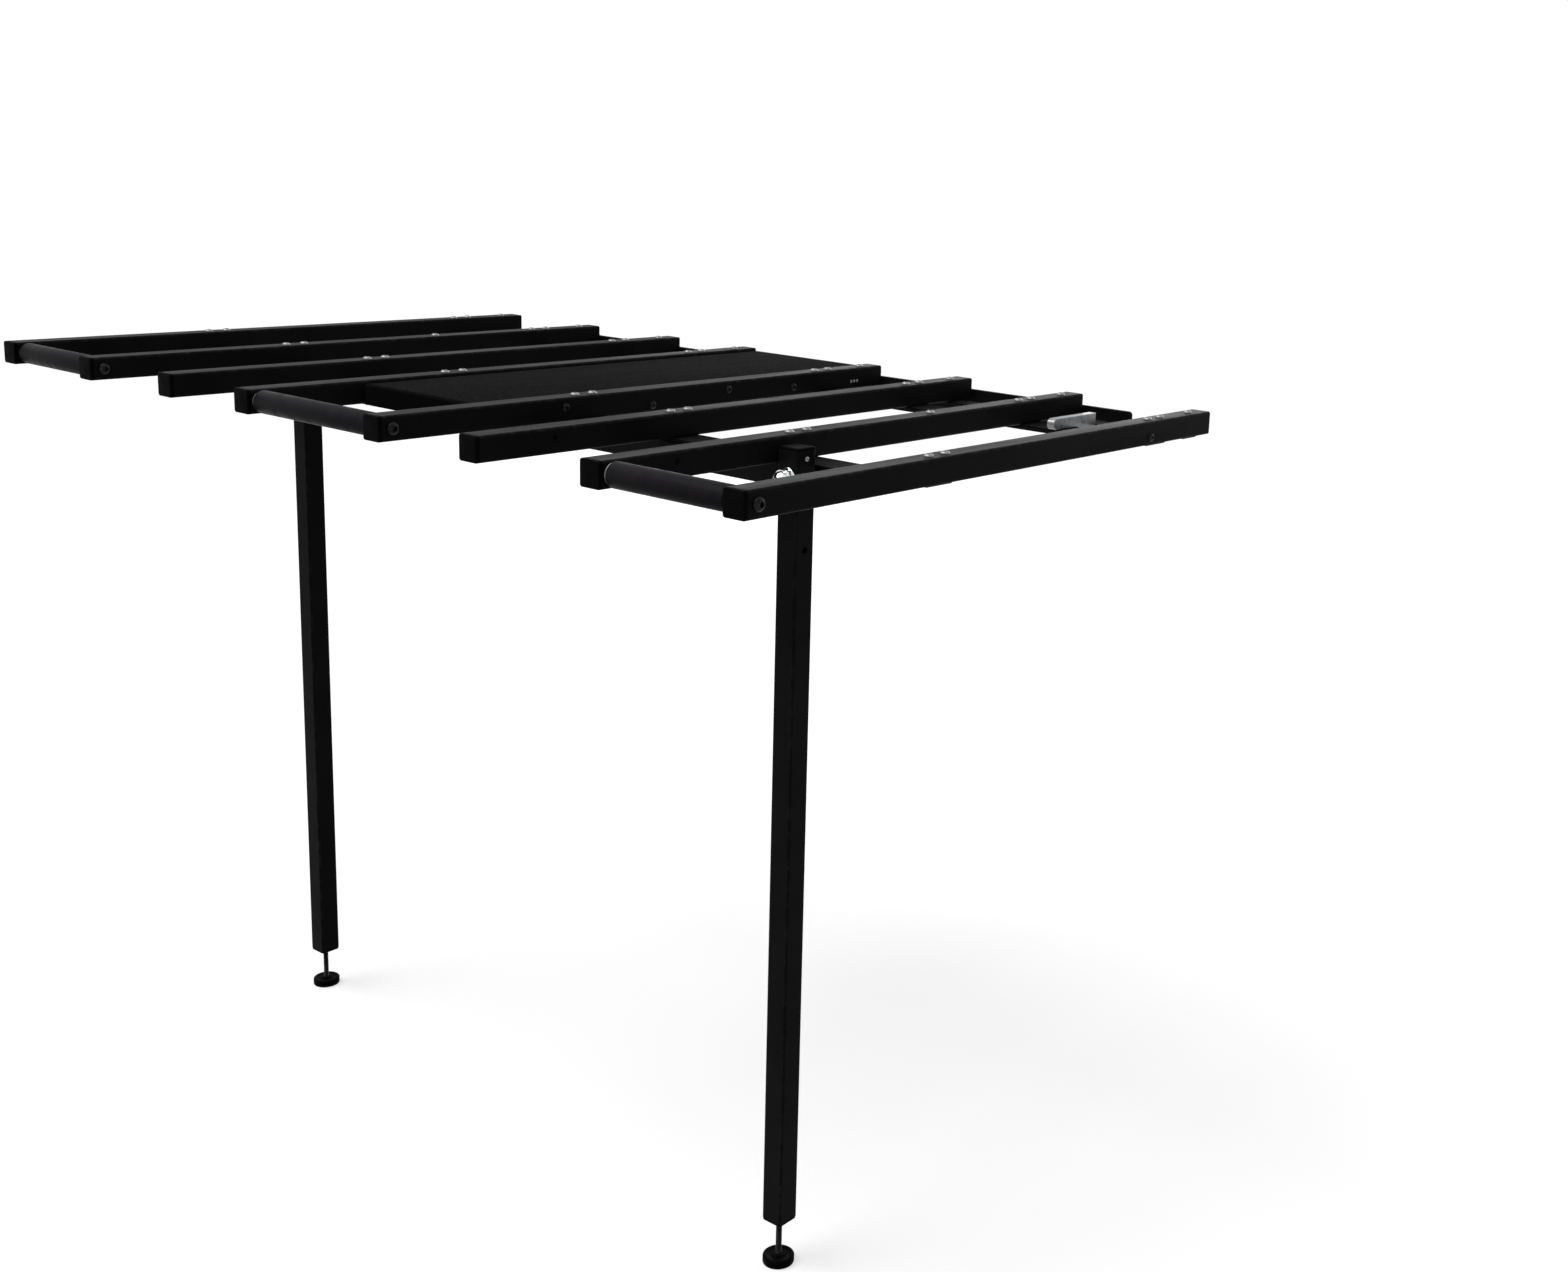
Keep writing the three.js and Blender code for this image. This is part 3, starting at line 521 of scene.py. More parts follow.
def cap_grid(low, high, centre, axis, outward, wall, head):
    """A cap whose height runs outwards along the axis, from the plug in the tube to the crowned face."""
    width, height = np.delete(high - low, axis)
    plug = high[axis] - low[axis] - head
    outlines, heights = cap_rows(width, height, wall, head, plug)
    head_base = low[axis] + plug if outward > 0 else high[axis] - plug
    return carry(axis, outlines, head_base + outward * heights, centre)


def rear_plug_grid(low, high, centre):
    """A shallow block just inside the tube's open end, with an eased rim."""
    size = high[0] - low[0] - 2 * (TUBE_WALL + PLUG_PLAY)
    line = tube_outline(size, size, TUBE_CORNER / 2)
    eased = tube_outline(size - CAP_ROUND, size - CAP_ROUND, TUBE_CORNER / 2)
    back = high[1] - REAR_PLUG_INSET
    front = back - REAR_PLUG_DEPTH
    ys = [front, front, back - CAP_ROUND / 2, back, back]
    return carry(Y, [line * 0, line, line, eased, eased * 0], ys, centre)


rail_end = (Y, -1, TUBE_WALL, CAP_HEAD)
for i in rails:
    redraw(f"front_cap_{i}", f"front_cap_moulded_{i}", cap_grid, "table_frame", "black_plastic", *rail_end)
plugs = [rear_plug_grid(*box) for box in rails.values()]
make_grids("rear_plugs", plugs, "table_frame", "black_plastic")
print("caps:", len(rails), "in front,", len(plugs), "at the back")

# %% [markdown]
# ## Straps
# Three flat bars lie across under all the rails. A bar is a thin outline with eased corners, carried along
# X; at each end the outline first shrinks by the same ease and then closes on itself.

# %% Straps
STRAP_EASE = 0.5 * MM
STRAP_CORNER, STRAP_END_CORNER = 0.7 * MM, 0.4 * MM


def strap_grid(low, high, centre):
    """Eased end, full bar, eased end, with a centre line closing each end face."""
    depth, height = high[1] - low[1], high[2] - low[2]
    full = tube_outline(depth, height, STRAP_CORNER)
    small = tube_outline(depth - 2 * STRAP_EASE, height - 2 * STRAP_EASE, STRAP_END_CORNER)
    spine = small * np.array([1, 0])
    xs = [low[0], low[0], low[0] + STRAP_EASE, high[0] - STRAP_EASE, high[0], high[0]]
    return carry(X, [spine, small, full, full, small, spine], xs, centre)


STRAP_NAMES = ("front", "rear", "end")
strap_boxes = {name: node_box(f"{name}_strap") for name in STRAP_NAMES}
for name in STRAP_NAMES:
    redraw(f"{name}_strap", f"flat_strap_{name}", strap_grid, "table_frame", "black_coat")
print("straps:", len(strap_boxes))

# %% [markdown]
# ## The folded tray
# The tray is one sheet, folded down on all four sides. Here the carried outline is the sheet's own thin
# section, a rectangle as long as the fold and as thick as the sheet. Its path runs up one flange, round the
# bend, across the top and down again, and the bend's outer and inner arcs share one centre, as they do in a
# real press brake.

# %% Tray
SHEET = 1.6 * MM
BEND_RADIUS = 2.6 * MM
TRAY_LIP = 22.0 * MM
LIP_NOTCH = 3.8 * MM
BEND_STEPS = 9


def fold_path(half_width, flange, radius):
    """Side, top and side of a folded channel at a bend radius: up one flange and down the other."""
    angles = np.linspace(0, np.pi / 2, BEND_STEPS)
    reach = half_width - BEND_RADIUS
    right = np.stack([reach + radius * np.cos(angles), radius * np.sin(angles) - BEND_RADIUS], -1)
    left = right[::-1] * np.array([-1, 1])
    foot = np.array([[reach + radius, -flange]])
    return np.concatenate([foot, right, left, foot * np.array([-1, 1])])


def close_ends(grid):
    """Adds a row at each end in which all points meet, so that the end faces are closed."""
    first = np.broadcast_to(grid[:1].mean(1, keepdims=True), grid[:1].shape)
    last = np.broadcast_to(grid[-1:].mean(1, keepdims=True), grid[-1:].shape)
    return np.concatenate([first, grid, last])


def sheet_grid(outer, inner, start, end):
    """Section corners for each point of the path: outer and inner face at both ends of the fold."""
    corners = [(outer, start), (outer, end), (inner, end), (inner, start)]
    columns = [np.c_[path[:, 0], np.full(len(path), place), path[:, 1]] for path, place in corners]
    return close_ends(np.stack(columns, 1))


def tray_grids(low, high):
    """The long channel, and a short folded lip at each end, turned by swapping X and Y."""
    half = (high[0] - low[0]) / 2
    flange = high[2] - low[2]
    radii = (BEND_RADIUS, BEND_RADIUS - SHEET)
    sides = [fold_path(half, flange, radius) for radius in radii]
    channel = sheet_grid(*sides, low[1] + BEND_RADIUS, high[1] - BEND_RADIUS)
    bends = [fold_path(half, TRAY_LIP, radius)[: BEND_STEPS + 1] for radius in radii]
    tails = [[[half - 2 * BEND_RADIUS, bend[-1, 1]]] for bend in bends]
    lip_paths = [np.concatenate([bend, tail]) - np.array([half, 0]) for bend, tail in zip(bends, tails)]
    lip = sheet_grid(*lip_paths, -half + LIP_NOTCH, half - LIP_NOTCH)
    ends = ((low[1], -1), (high[1], 1))
    lips = [np.stack([lip[..., 1], end + way * lip[..., 0], lip[..., 2]], -1) for end, way in ends]
    return [g + np.array([0, 0, high[2]]) for g in (channel, *lips)]


low, high, _ = node_box("tray_panel")
make_grids("tray_sheet", tray_grids(low, high), "table_frame", "tray_coat", ["tray_panel"])
print(f"tray: {(high - low)[X] * 1000:.0f} x {(high - low)[Y] * 1000:.0f} mm")

# %% [markdown]
# ## Swing legs
# A leg is the rails' tube set upright, and it is drilled like the real one: once through both walls for the
# pivot bolt and once through the outer wall for the pin that locks it. The drills are turned rods, cut away
# with Boolean modifiers whose result is kept as a plain mesh, so nothing of the drills stays in the scene.

# %% Drilled legs
SIDES = (("left", -1), ("right", 1))
PIVOT_HOLE = 5.3 * MM
LOCK_HOLE = 3.5 * MM
LOCK_HOLE_DROP = 69.0 * MM
LOCK_DRILL = 30.0 * MM
DRILL_OVERRUN = 5.0 * MM
LEG_CUT = 0.4 * MM
ROD_STEPS = 32


def straight_rod(start, axis, radius, length):
    """A rod from a start point along an axis, closed at both ends."""
    axis = np.array(axis, float)
    first = np.roll(axis, 1)
    second = np.cross(axis, first)
    angle = np.arange(ROD_STEPS) * 2 * np.pi / ROD_STEPS
    ring = radius * (np.cos(angle)[:, None] * first + np.sin(angle)[:, None] * second)
    radii = np.array([0, 1, 1, 0])[:, None, None]
    heights = np.array([0, 0, length, length])[:, None, None]
    return np.array(start) + radii * ring + heights * axis


def through_rod(axis, low, high, at, radius):
    """A drill rod along the axis that passes a point and runs out of both faces of a box."""
    start = np.array(at, float)
    start[axis] = low[axis] - DRILL_OVERRUN
    return straight_rod(start, np.eye(3)[axis], radius, high[axis] - low[axis] + 2 * DRILL_OVERRUN)


def drill(mesh, rods):
    """Takes closed rods out of a mesh with Boolean modifiers and returns the result as a new mesh."""
    host = bpy.data.objects.new("drilled", mesh)
    tools = [bpy.data.objects.new("drill_rod", grids_to_mesh("drill_rod", [rod])) for rod in rods]
    for thing in (host, *tools):
        bpy.context.scene.collection.objects.link(thing)
    for tool in tools:
        hole = host.modifiers.new("hole", "BOOLEAN")
        hole.object = tool
        hole.solver = "EXACT"
    result = bpy.data.meshes.new_from_object(host.evaluated_get(bpy.context.evaluated_depsgraph_get()))
    for thing in (host, *tools):
        bpy.data.objects.remove(thing)
    return result


pivots = {side: node_box(f"leg_pivot_bolt_{side}")[2] for side, _ in SIDES}
for side, outward in SIDES:
    low, high, centre = node_box(f"leg_{side}")
    pivot_z = pivots[side][Z]
    grid = tube_grid(Z, low, high, TUBE_WALL, LEG_CUT)
    pivot = through_rod(Y, low, high, (centre[0], 0, pivot_z), PIVOT_HOLE)
    lock_start = (centre[0], centre[1], pivot_z - LOCK_HOLE_DROP)
    lock = straight_rod(lock_start, (outward, 0, 0), LOCK_HOLE, LOCK_DRILL)
    mesh = drill(grids_to_mesh(f"leg_tube_{side}", [grid], [rubbed_and_lit_corners(grid)]), [pivot, lock])
    mesh.name = f"leg_tube_{side}"
    make_piece(f"leg_tube_{side}", mesh, f"leg_swing_{side}", "black_coat", [f"leg_{side}"])
    print(f"leg {side}: {len(mesh.polygons)} faces after drilling")

# %% [markdown]
# Between the legs lies a rectangular tube, the leg beam, which the two pivot bolts cross. It is drawn along
# X with a thicker wall and drilled by the same helper. Its ends and the tops of the legs are closed by caps
# like those of the rails: only the direction in which the cap's height runs is another.

# %% Leg beam and caps
BEAM_WALL = 2.0 * MM
LEG_CAP_HEAD = 3.0 * MM

for side, outward in SIDES:
    beam_end = (X, outward, BEAM_WALL, CAP_HEAD)
    redraw(f"leg_beam_cap_{side}", f"beam_cap_{side}", cap_grid, "table_frame", "black_plastic", *beam_end)
    leg_top = (Z, 1, TUBE_WALL, LEG_CAP_HEAD)
    redraw(f"leg_top_cap_{side}", f"leg_cap_{side}", cap_grid, f"leg_swing_{side}", "black_plastic", *leg_top)
low, high, _ = node_box("leg_beam")
bores = [through_rod(Y, low, high, bolt, PIVOT_HOLE) for bolt in pivots.values()]
grid = tube_grid(X, low, high, BEAM_WALL, LEG_CUT)
mesh = drill(grids_to_mesh("beam_tube", [grid], [rubbed_and_lit_corners(grid)]), bores)
make_piece("beam_tube", mesh, "table_frame", "black_coat", ["leg_beam"])
beam_half = high[X]
print(f"leg beam: {(high - low)[X] * 1000:.0f} mm, with", len(bores), "bores")

# %% [markdown]
# ## Turned pieces
# Rollers, bushes, bolts and pads are all profiles turned round an axis. The radius may also depend on the
# angle: with the radius of a hexagon, the same function draws nuts and the sockets in bolt heads.
# Forty-eight steps are a multiple of six, so that a point falls on each corner of a hexagon.

# %% Turning helpers
TURN_STEPS = 48
turn_angle = np.arange(TURN_STEPS) * 2 * np.pi / TURN_STEPS


def hexagon(across_flats):
    """Radius of a hexagon at each turning angle: half the width over the cosine from a flat's middle."""
    off_flat = (turn_angle + np.pi / 6) % (np.pi / 3) - np.pi / 6
    return across_flats / 2 / np.cos(off_flat)


def turn_profile(profile, origin, axis):
    """Rings of the given radius (one, or one for each angle) at heights along the axis from the origin."""
    axis = np.array(axis, float)
    first = np.roll(axis, 1)
    second = np.cross(axis, first)
    radii = np.stack([np.broadcast_to(r, TURN_STEPS) for r, h in profile])
    heights = np.array([h for r, h in profile])
    ring = np.cos(turn_angle)[:, None] * first + np.sin(turn_angle)[:, None] * second
    return np.array(origin) + heights[:, None, None] * axis + radii[..., None] * ring


def quarter_round(radius, height, reach, steps=5):
    """Profile points of a rounded rim: from the side at the given radius to a flat, by a quarter circle."""
    angles = np.linspace(0, np.pi / 2, steps)
    return [(radius - reach * (1 - math.cos(a)), height - reach * (1 - math.sin(a))) for a in angles]


print("turning steps:", TURN_STEPS)

# %% [markdown]
# The rollers stand a hair below the rail tops, so a board glides from one to the other. Each sleeve is a
# tube with eased ends, and a pale nylon bush with a thin flange shows as a light ring at each end.

# %% Rollers
SLEEVE_WALL = 2.0 * MM
SLEEVE_EASE = 0.9 * MM
BUSH_BORE = 4.3 * MM
BUSH_SPIGOT = 12.0 * MM
BUSH_STEP = 0.9 * MM
BUSH_LIP = 0.5 * MM
DISH_DEPTH = 0.5 * MM
DISH_OUTER, DISH_OUTER_FLOOR, DISH_INNER_FLOOR, DISH_INNER = 0.78, 0.74, 0.5, 0.48


def sleeve_grid(low, high, centre):
    """Outside between two rounded ends, then back through the bore."""
    half = (high[0] - low[0]) / 2
    radius = (high[2] - low[2]) / 2
    bore = radius - SLEEVE_WALL
    end = quarter_round(radius, half, SLEEVE_EASE)
    start = [(r, -h) for r, h in reversed(end)]
    return turn_profile([(bore, -half), *start, *end, (bore, half), (bore, -half)], centre, (1, 0, 0))


def bush_grid(low, high, centre, outward):
    """Spigot, flange with a rounded lip, a shallow dished face and the bore."""
    origin = (low[0] if outward > 0 else high[0], centre[1], centre[2])
    reach = high[0] - low[0]
    flange = (high[2] - low[2]) / 2
    spigot = flange - BUSH_STEP
    dish = reach - DISH_DEPTH
    profile = [(BUSH_BORE, 0), (spigot, 0), (spigot, BUSH_SPIGOT), (flange, BUSH_SPIGOT)]
    profile += quarter_round(flange, reach, BUSH_LIP)
    profile += [(flange * DISH_OUTER, reach), (flange * DISH_OUTER_FLOOR, dish)]
    profile += [(flange * DISH_INNER_FLOOR, dish), (flange * DISH_INNER, reach)]
    profile += [(BUSH_BORE, reach), (BUSH_BORE, 0)]
    return turn_profile(profile, origin, (outward, 0, 0))


ROLLER_SIDES = ("left", "middle", "right")
for side in ROLLER_SIDES:
    body = f"roller_{side}"
    redraw(f"roller_sleeve_{side}", f"roller_cover_{side}", sleeve_grid, body, "roller_sleeve")
    for end, outward in ((f"{side}_a", -1), (f"{side}_b", 1)):
        redraw(f"roller_bush_{end}", f"roller_ring_{end}", bush_grid, body, "grey_nylon", outward)
print("rollers:", len(ROLLER_SIDES))

# %% [markdown]
# A roller turns on a long bolt. Its head is a low dome with a hexagon socket: the rings of the dome are
# circles, the rings of the socket are hexagons, and the quads between the two make the countersunk edge. At
# the far end sits a plain nut. A cone cuts its corners, so its faces end in circles and its sides in
# hexagons.

# %% Axle bolts and nuts
AXLE_RADIUS = 4.0 * MM
AXLE_HEAD = 4.0 * MM
AXLE_NUT_WIDTH = 13.0 * MM
AXLE_NUT_BORE = 4.2 * MM
THREAD_END = 0.8 * MM
DOME_START, DOME_END = 0.12, 1.0
SOCKET_WIDTH, SOCKET_RIM, SOCKET_LIP, SOCKET_FLOOR = 0.72, 0.47, 0.97, 0.42
CONE = math.radians(30)


def button_head(radius, height, base):
    """Dome from the rim to a hexagon socket: circles on the dome, then the socket's wall and floor."""
    angles = np.linspace(DOME_START, DOME_END, 6)
    dome = [(radius * math.cos(a), base + height * math.sin(a) / math.sin(DOME_END)) for a in angles]
    socket = hexagon(radius * SOCKET_WIDTH)
    bottom = base + height * SOCKET_FLOOR
    rim = [(radius * SOCKET_RIM, base + height), (socket, base + height * SOCKET_LIP)]
    return [(radius, base), *dome, *rim, (socket, bottom), (0, bottom)]


def axle_grid(low, high, centre):
    """Thread end, shank and button head, from the nut's side to the head's side."""
    base = high[0] - low[0] - AXLE_HEAD
    head = (high[2] - low[2]) / 2
    profile = [(0, 0), (AXLE_RADIUS - THREAD_END, 0), (AXLE_RADIUS, THREAD_END), (AXLE_RADIUS, base)]
    profile += button_head(head, AXLE_HEAD, base)
    return turn_profile(profile, (low[0], centre[1], centre[2]), (1, 0, 0))


def nut_radii(width):
    """The inner circle of a hexagon, the hexagon itself, and how far down a cone cuts its corners."""
    corner = hexagon(width)
    return width / 2, corner, (corner.max() - width / 2) * math.tan(CONE)


def nut_grid(low, high, centre):
    """Rings of a nut along X: bore, cone-cut face, hexagon sides, cone-cut face, bore."""
    cut, corner, shoulder = nut_radii(AXLE_NUT_WIDTH)
    height = high[0] - low[0]
    sides = [(cut, 0), (corner, shoulder), (corner, height - shoulder), (cut, height)]
    rings = [(AXLE_NUT_BORE, 0), *sides, (AXLE_NUT_BORE, height), (AXLE_NUT_BORE, 0)]
    return turn_profile(rings, (low[0], centre[1], centre[2]), (1, 0, 0))


for side in ROLLER_SIDES:
    redraw(f"roller_axle_{side}", f"axle_bolt_{side}", axle_grid, "table_frame", "black_steel")
    redraw(f"roller_nut_{side}", f"axle_nut_{side}", nut_grid, "table_frame", "black_steel")
print("axles:", len(ROLLER_SIDES))

# %% [markdown]
# ## The leg pivot
# A chrome dome nut closes the pivot bolt on the side of each leg that looks away from the beam, and is the
# one bright spot under the table. It is turned in one go: a flange, a short hexagon with its corners eased,
# and a half sphere.

# %% Dome nuts and pivot bolts
DOME_WIDTH = 19.0 * MM
DOME_FLANGE = 1.6 * MM
DOME_HEX = 6.4 * MM
DOME_SHARE, CORNER_SHARE = 0.46, 0.52
FLANGE_EASE, FLANGE_EDGE, FLANGE_SLOPE = 0.4 * MM, 0.5 * MM, 0.6 * MM
HEX_LIFT, HEX_EASE = 0.3 * MM, 0.9 * MM
PIVOT_RADIUS = 5.0 * MM
PIVOT_HEAD = 6.0 * MM


def dome_nut_grid(low, high, centre, outward):
    """Flange, hexagon that eases into a circle, and a half sphere, along the bolt towards the outside."""
    flange = (high[0] - low[0]) / 2
    reach = high[1] - low[1]
    origin = (centre[0], low[1] if outward > 0 else high[1], centre[2])
    hexed = hexagon(DOME_WIDTH)
    eased = np.minimum(hexed, DOME_WIDTH * CORNER_SHARE)
    shoulder = DOME_FLANGE + DOME_HEX
    dome = DOME_WIDTH * DOME_SHARE
    arc = np.linspace(0, np.pi / 2, 10)
    profile = [(0, 0), (flange - FLANGE_EASE, 0), (flange, FLANGE_EASE)]
    profile += [(flange, DOME_FLANGE - FLANGE_EDGE), (flange - FLANGE_SLOPE, DOME_FLANGE)]
    profile += [(hexed, DOME_FLANGE + HEX_LIFT), (hexed, shoulder - HEX_EASE), (eased, shoulder)]
    profile += [(dome * math.cos(a), shoulder + (reach - shoulder) * math.sin(a)) for a in arc]
    return turn_profile(profile, origin, (0, outward, 0))


def pivot_bolt_grid(low, high, centre, outward):
    """Thread end in the dome nut, shank, and a cone-cut hexagon head on the beam's far side."""
    length = high[1] - low[1]
    cut, corner, shoulder = nut_radii(DOME_WIDTH)
    base = length - PIVOT_HEAD
    profile = [(0, 0), (PIVOT_RADIUS - THREAD_END, 0), (PIVOT_RADIUS, THREAD_END), (PIVOT_RADIUS, base)]
    profile += [(corner, base), (corner, length - shoulder), (cut, length), (0, length)]
    origin = (centre[0], low[1] if outward < 0 else high[1], centre[2])
    return turn_profile(profile, origin, (0, -outward, 0))


NUT_SIDES = (("left", 1), ("right", -1))
for side, outward in NUT_SIDES:
    nut, bolt = f"dome_nut_{side}", f"pivot_bolt_{side}"
    redraw(f"leg_{nut}", nut, dome_nut_grid, "table_frame", "chrome", outward)
    redraw(f"leg_{bolt}", bolt, pivot_bolt_grid, "table_frame", "black_steel", outward)
print("dome nuts and pivot bolts:", len(NUT_SIDES), "of each")

# %% [markdown]
# ## Levelling feet
# The stem is a real screw. Its radius is a ridge that climbs one pitch for each turn: at angle a and height
# h, the ridge depends only on h / pitch - a / (2 pi), so one formula on the whole grid winds the thread.
# The pad below it is turned, with a soft rim and a raised boss round the stem.

# %% Feet
STEM_PITCH = 1.27 * MM
THREAD_DEPTH = 0.55 * MM
FLANK_GAIN, CREST_FLAT = 1.3, 0.15
ROWS_PER_TURN = 8
PAD_RIM = 2.2 * MM
PAD_BOSS = 0.9 * MM
PAD_DIP = 0.6 * MM
SOLE_EASE, SOLE_CORNER = 1.4 * MM, 0.4 * MM
DIP_OUTER, DIP_OUTER_FLOOR, DIP_INNER_FLOOR = 0.78, 0.72, 0.46
BOSS_FOOT, BOSS_TOP = 0.42, 0.4
BOSS_EASE = 0.3 * MM


def stem_grid(low, high, centre):
    """Thread: outer radius less a triangle wave of the height over the pitch minus the share of a turn."""
    length = high[2] - low[2]
    radius = (high[0] - low[0]) / 2
    rows = int(length / STEM_PITCH * ROWS_PER_TURN)
    heights = np.linspace(0, length, rows)
    phase = (heights[:, None] / STEM_PITCH - turn_angle[None, :] / (2 * np.pi)) % 1
    ridge = radius - THREAD_DEPTH * np.clip(np.abs(2 * phase - 1) * FLANK_GAIN - CREST_FLAT, 0, 1)
    profile = [(0, 0)] + list(zip(ridge, heights)) + [(0, length)]
    return turn_profile(profile, (centre[0], centre[1], low[2]), (0, 0, 1))


def pad_grid(low, high, centre):
    """Flat sole, rounded rim and a boss; the top dips a little between the boss and the rim."""
    height = high[2] - low[2]
    radius = (high[0] - low[0]) / 2
    deck = height - PAD_BOSS
    dip = deck - PAD_DIP
    profile = [(0, 0), (radius - SOLE_EASE, 0), (radius - SOLE_CORNER, SOLE_CORNER), (radius, SOLE_EASE)]
    profile += quarter_round(radius, deck, PAD_RIM, 7)
    profile += [(radius * DIP_OUTER, deck), (radius * DIP_OUTER_FLOOR, dip), (radius * DIP_INNER_FLOOR, dip)]
    profile += [(radius * BOSS_FOOT, height - BOSS_EASE), (radius * BOSS_TOP, height), (0, height)]
    return turn_profile(profile, (centre[0], centre[1], low[2]), (0, 0, 1))


for side, _ in SIDES:
    stem = redraw(f"foot_stem_{side}", f"levelling_stem_{side}", stem_grid, f"foot_{side}", "black_steel")
    redraw(f"foot_pad_{side}", f"levelling_pad_{side}", pad_grid, f"foot_{side}", "black_plastic")
print("feet:", len(SIDES), "with", stem.shape[0], "rows in a thread")

# %% [markdown]
# ## Screws and bolts
# Every rail is held to each strap by bright socket screws through its top: two at the front and rear straps
# and one at the hinge end, and the rails beside the legs have one more halfway. They are the button heads
# of the axles again, drawn along Z, so their domes catch the light. The straps are tapped, so no nuts hang
# below them, and each screw shows there only as a chamfered tip, a hair proud of the strap. Above the leg
# beam the front tips cannot be seen, so they are left out.

# %% Rail screws
SEAT = 0.2 * MM
SCREW_RADIUS = 4.8 * MM
SCREW_RISE = 2.2 * MM
SCREW_PAIR = 12.0 * MM
EXTRA_SCREW_BACK = 271.0 * MM
EXTRA_SCREW_RAILS = (2, 7)
TIP_RADIUS = 2.9 * MM
TIP_REACH = 0.4 * MM


def seated_head(radius, height):
    """Profile of a button head whose underside lies a hair below the face that it is screwed on."""
    return [(0, -SEAT), (radius, -SEAT), *button_head(radius, height, 0)]


def screw_tip_grid(x, y, bottom):
    """The screw's end below a strap, with a chamfer round it."""
    profile = [(0, -SEAT), (TIP_RADIUS, -SEAT), (TIP_RADIUS, TIP_REACH / 2)]
    profile += [(TIP_RADIUS - TIP_REACH / 2, TIP_REACH), (0, TIP_REACH)]
    return turn_profile(profile, (x, y, bottom), (0, 0, -1))


strap_ys = {name: box[2][Y] for name, box in strap_boxes.items()}
strap_screws = [(name, strap_ys[name] + s * SCREW_PAIR) for name in ("front", "rear") for s in (-1, 1)]
strap_screws.append(("end", strap_ys["end"]))
head_count, tip_count = 0, 0
for i, (low, high, centre) in rails.items():
    ys = [y for _, y in strap_screws]
    if i in EXTRA_SCREW_RAILS:
        ys.append(high[1] - EXTRA_SCREW_BACK)
    screw = seated_head(SCREW_RADIUS, SCREW_RISE)
    heads = [turn_profile(screw, (centre[0], y, high[2]), (0, 0, 1)) for y in ys]
    make_grids(f"rail_screws_{i}", heads, "table_frame", "bright_steel")
    seen = [(name, y) for name, y in strap_screws if name != "front" or abs(centre[0]) > beam_half]
    tips = [screw_tip_grid(centre[0], y, strap_boxes[name][0][2]) for name, y in seen]
    make_grids(f"screw_tips_{i}", tips, "table_frame", "bright_steel")
    head_count += len(heads)
    tip_count += len(tips)
print("rail screws:", head_count, "tips seen below:", tip_count)

# %% [markdown]
# Bolts through the sides of its two rails hold the tray, with their heads staggered up and down. The outer
# rails carry one more on each side near the hinges, and four rails have a small plugged hole near the
# front. The same button head serves all of them, turned along X. On the outer face of each leg, above the
# pivot, stands a small plain button.

# %% Side bolts
TRAY_BOLTS = ((0.5105, 10.5 * MM), (0.389, 18.0 * MM), (0.272, 9.5 * MM), (0.163, 15.0 * MM))
TRAY_SIDES = ((4, -1), (5, 1))
OUTER_SIDES = ((1, -1), (8, 1))
PLUGGED_SIDES = ((2, -1), (3, -1), (6, 1), (7, 1))
BOLT_SIZE = (4.6 * MM, 2.6 * MM)
RIVET_SIZE = (1.9 * MM, 0.8 * MM)
HOLE_PLUG_SIZE = (3.2 * MM, 0.9 * MM)
RIVET_BACKS = (46.5 * MM, 52.0 * MM, 57.5 * MM)
RIVET_DROP = 16.0 * MM
OUTER_BOLT_BACK, OUTER_BOLT_DROP = 124.0 * MM, 17.0 * MM
HOLE_PLUG_BACK, HOLE_PLUG_DROP = 645.7 * MM, 9.7 * MM
BUTTON_RADIUS, BUTTON_HEIGHT = 2.6 * MM, 1.6 * MM
BUTTON_RISE = 19.5 * MM


def side_head(rail, outward, back, drop, size):
    """Button head on a rail's side face, placed by its distance from the rail's hinge end and its top."""
    low, high, _ = rails[rail]
    face = high[0] if outward > 0 else low[0]
    return turn_profile(seated_head(*size), (face, high[1] - back, high[2] - drop), (outward, 0, 0))


tray_bolts = [side_head(*side, *place, BOLT_SIZE) for side in TRAY_SIDES for place in TRAY_BOLTS]
make_grids("tray_bolts", tray_bolts, "table_frame", "black_steel")
tray_rivets = [side_head(*side, back, RIVET_DROP, RIVET_SIZE) for side in TRAY_SIDES for back in RIVET_BACKS]
make_grids("tray_rivets", tray_rivets, "table_frame", "bright_steel")
outer_bolts = [side_head(*side, OUTER_BOLT_BACK, OUTER_BOLT_DROP, BOLT_SIZE) for side in OUTER_SIDES]
make_grids("outer_rail_bolts", outer_bolts, "table_frame", "black_steel")
hole_plugs = [side_head(*side, HOLE_PLUG_BACK, HOLE_PLUG_DROP, HOLE_PLUG_SIZE) for side in PLUGGED_SIDES]
make_grids("rail_hole_plugs", hole_plugs, "table_frame", "black_plastic")
arc = np.linspace(0, np.pi / 2, 6)
dome = [(BUTTON_RADIUS * math.cos(a), BUTTON_HEIGHT * math.sin(a)) for a in arc]
for side, outward in SIDES:
    low, high, centre = node_box(f"leg_{side}")
    place = (high[0] if outward > 0 else low[0], centre[1], pivots[side][Z] + BUTTON_RISE)
    button = turn_profile([(0, -SEAT), (BUTTON_RADIUS, -SEAT), *dome], place, (outward, 0, 0))
    make_grids(f"leg_button_{side}", [button], f"leg_swing_{side}", "bright_steel")
print("side bolts:", len(tray_bolts) + len(outer_bolts), "leg buttons:", len(SIDES))

# %% [markdown]
# ## Hinges and mount bar
# The table folds down on two hinges. Their arms, ears and base plates and the mount bar are all flat plates
# with eased edges: an outline drawn full size twice, and a little smaller at both faces. To make it
# smaller, every corner moves in along the bisector of its two edges, by the ease over the cosine of half
# the turn there.

# %% Plates
PLATE_EASE = 0.6 * MM


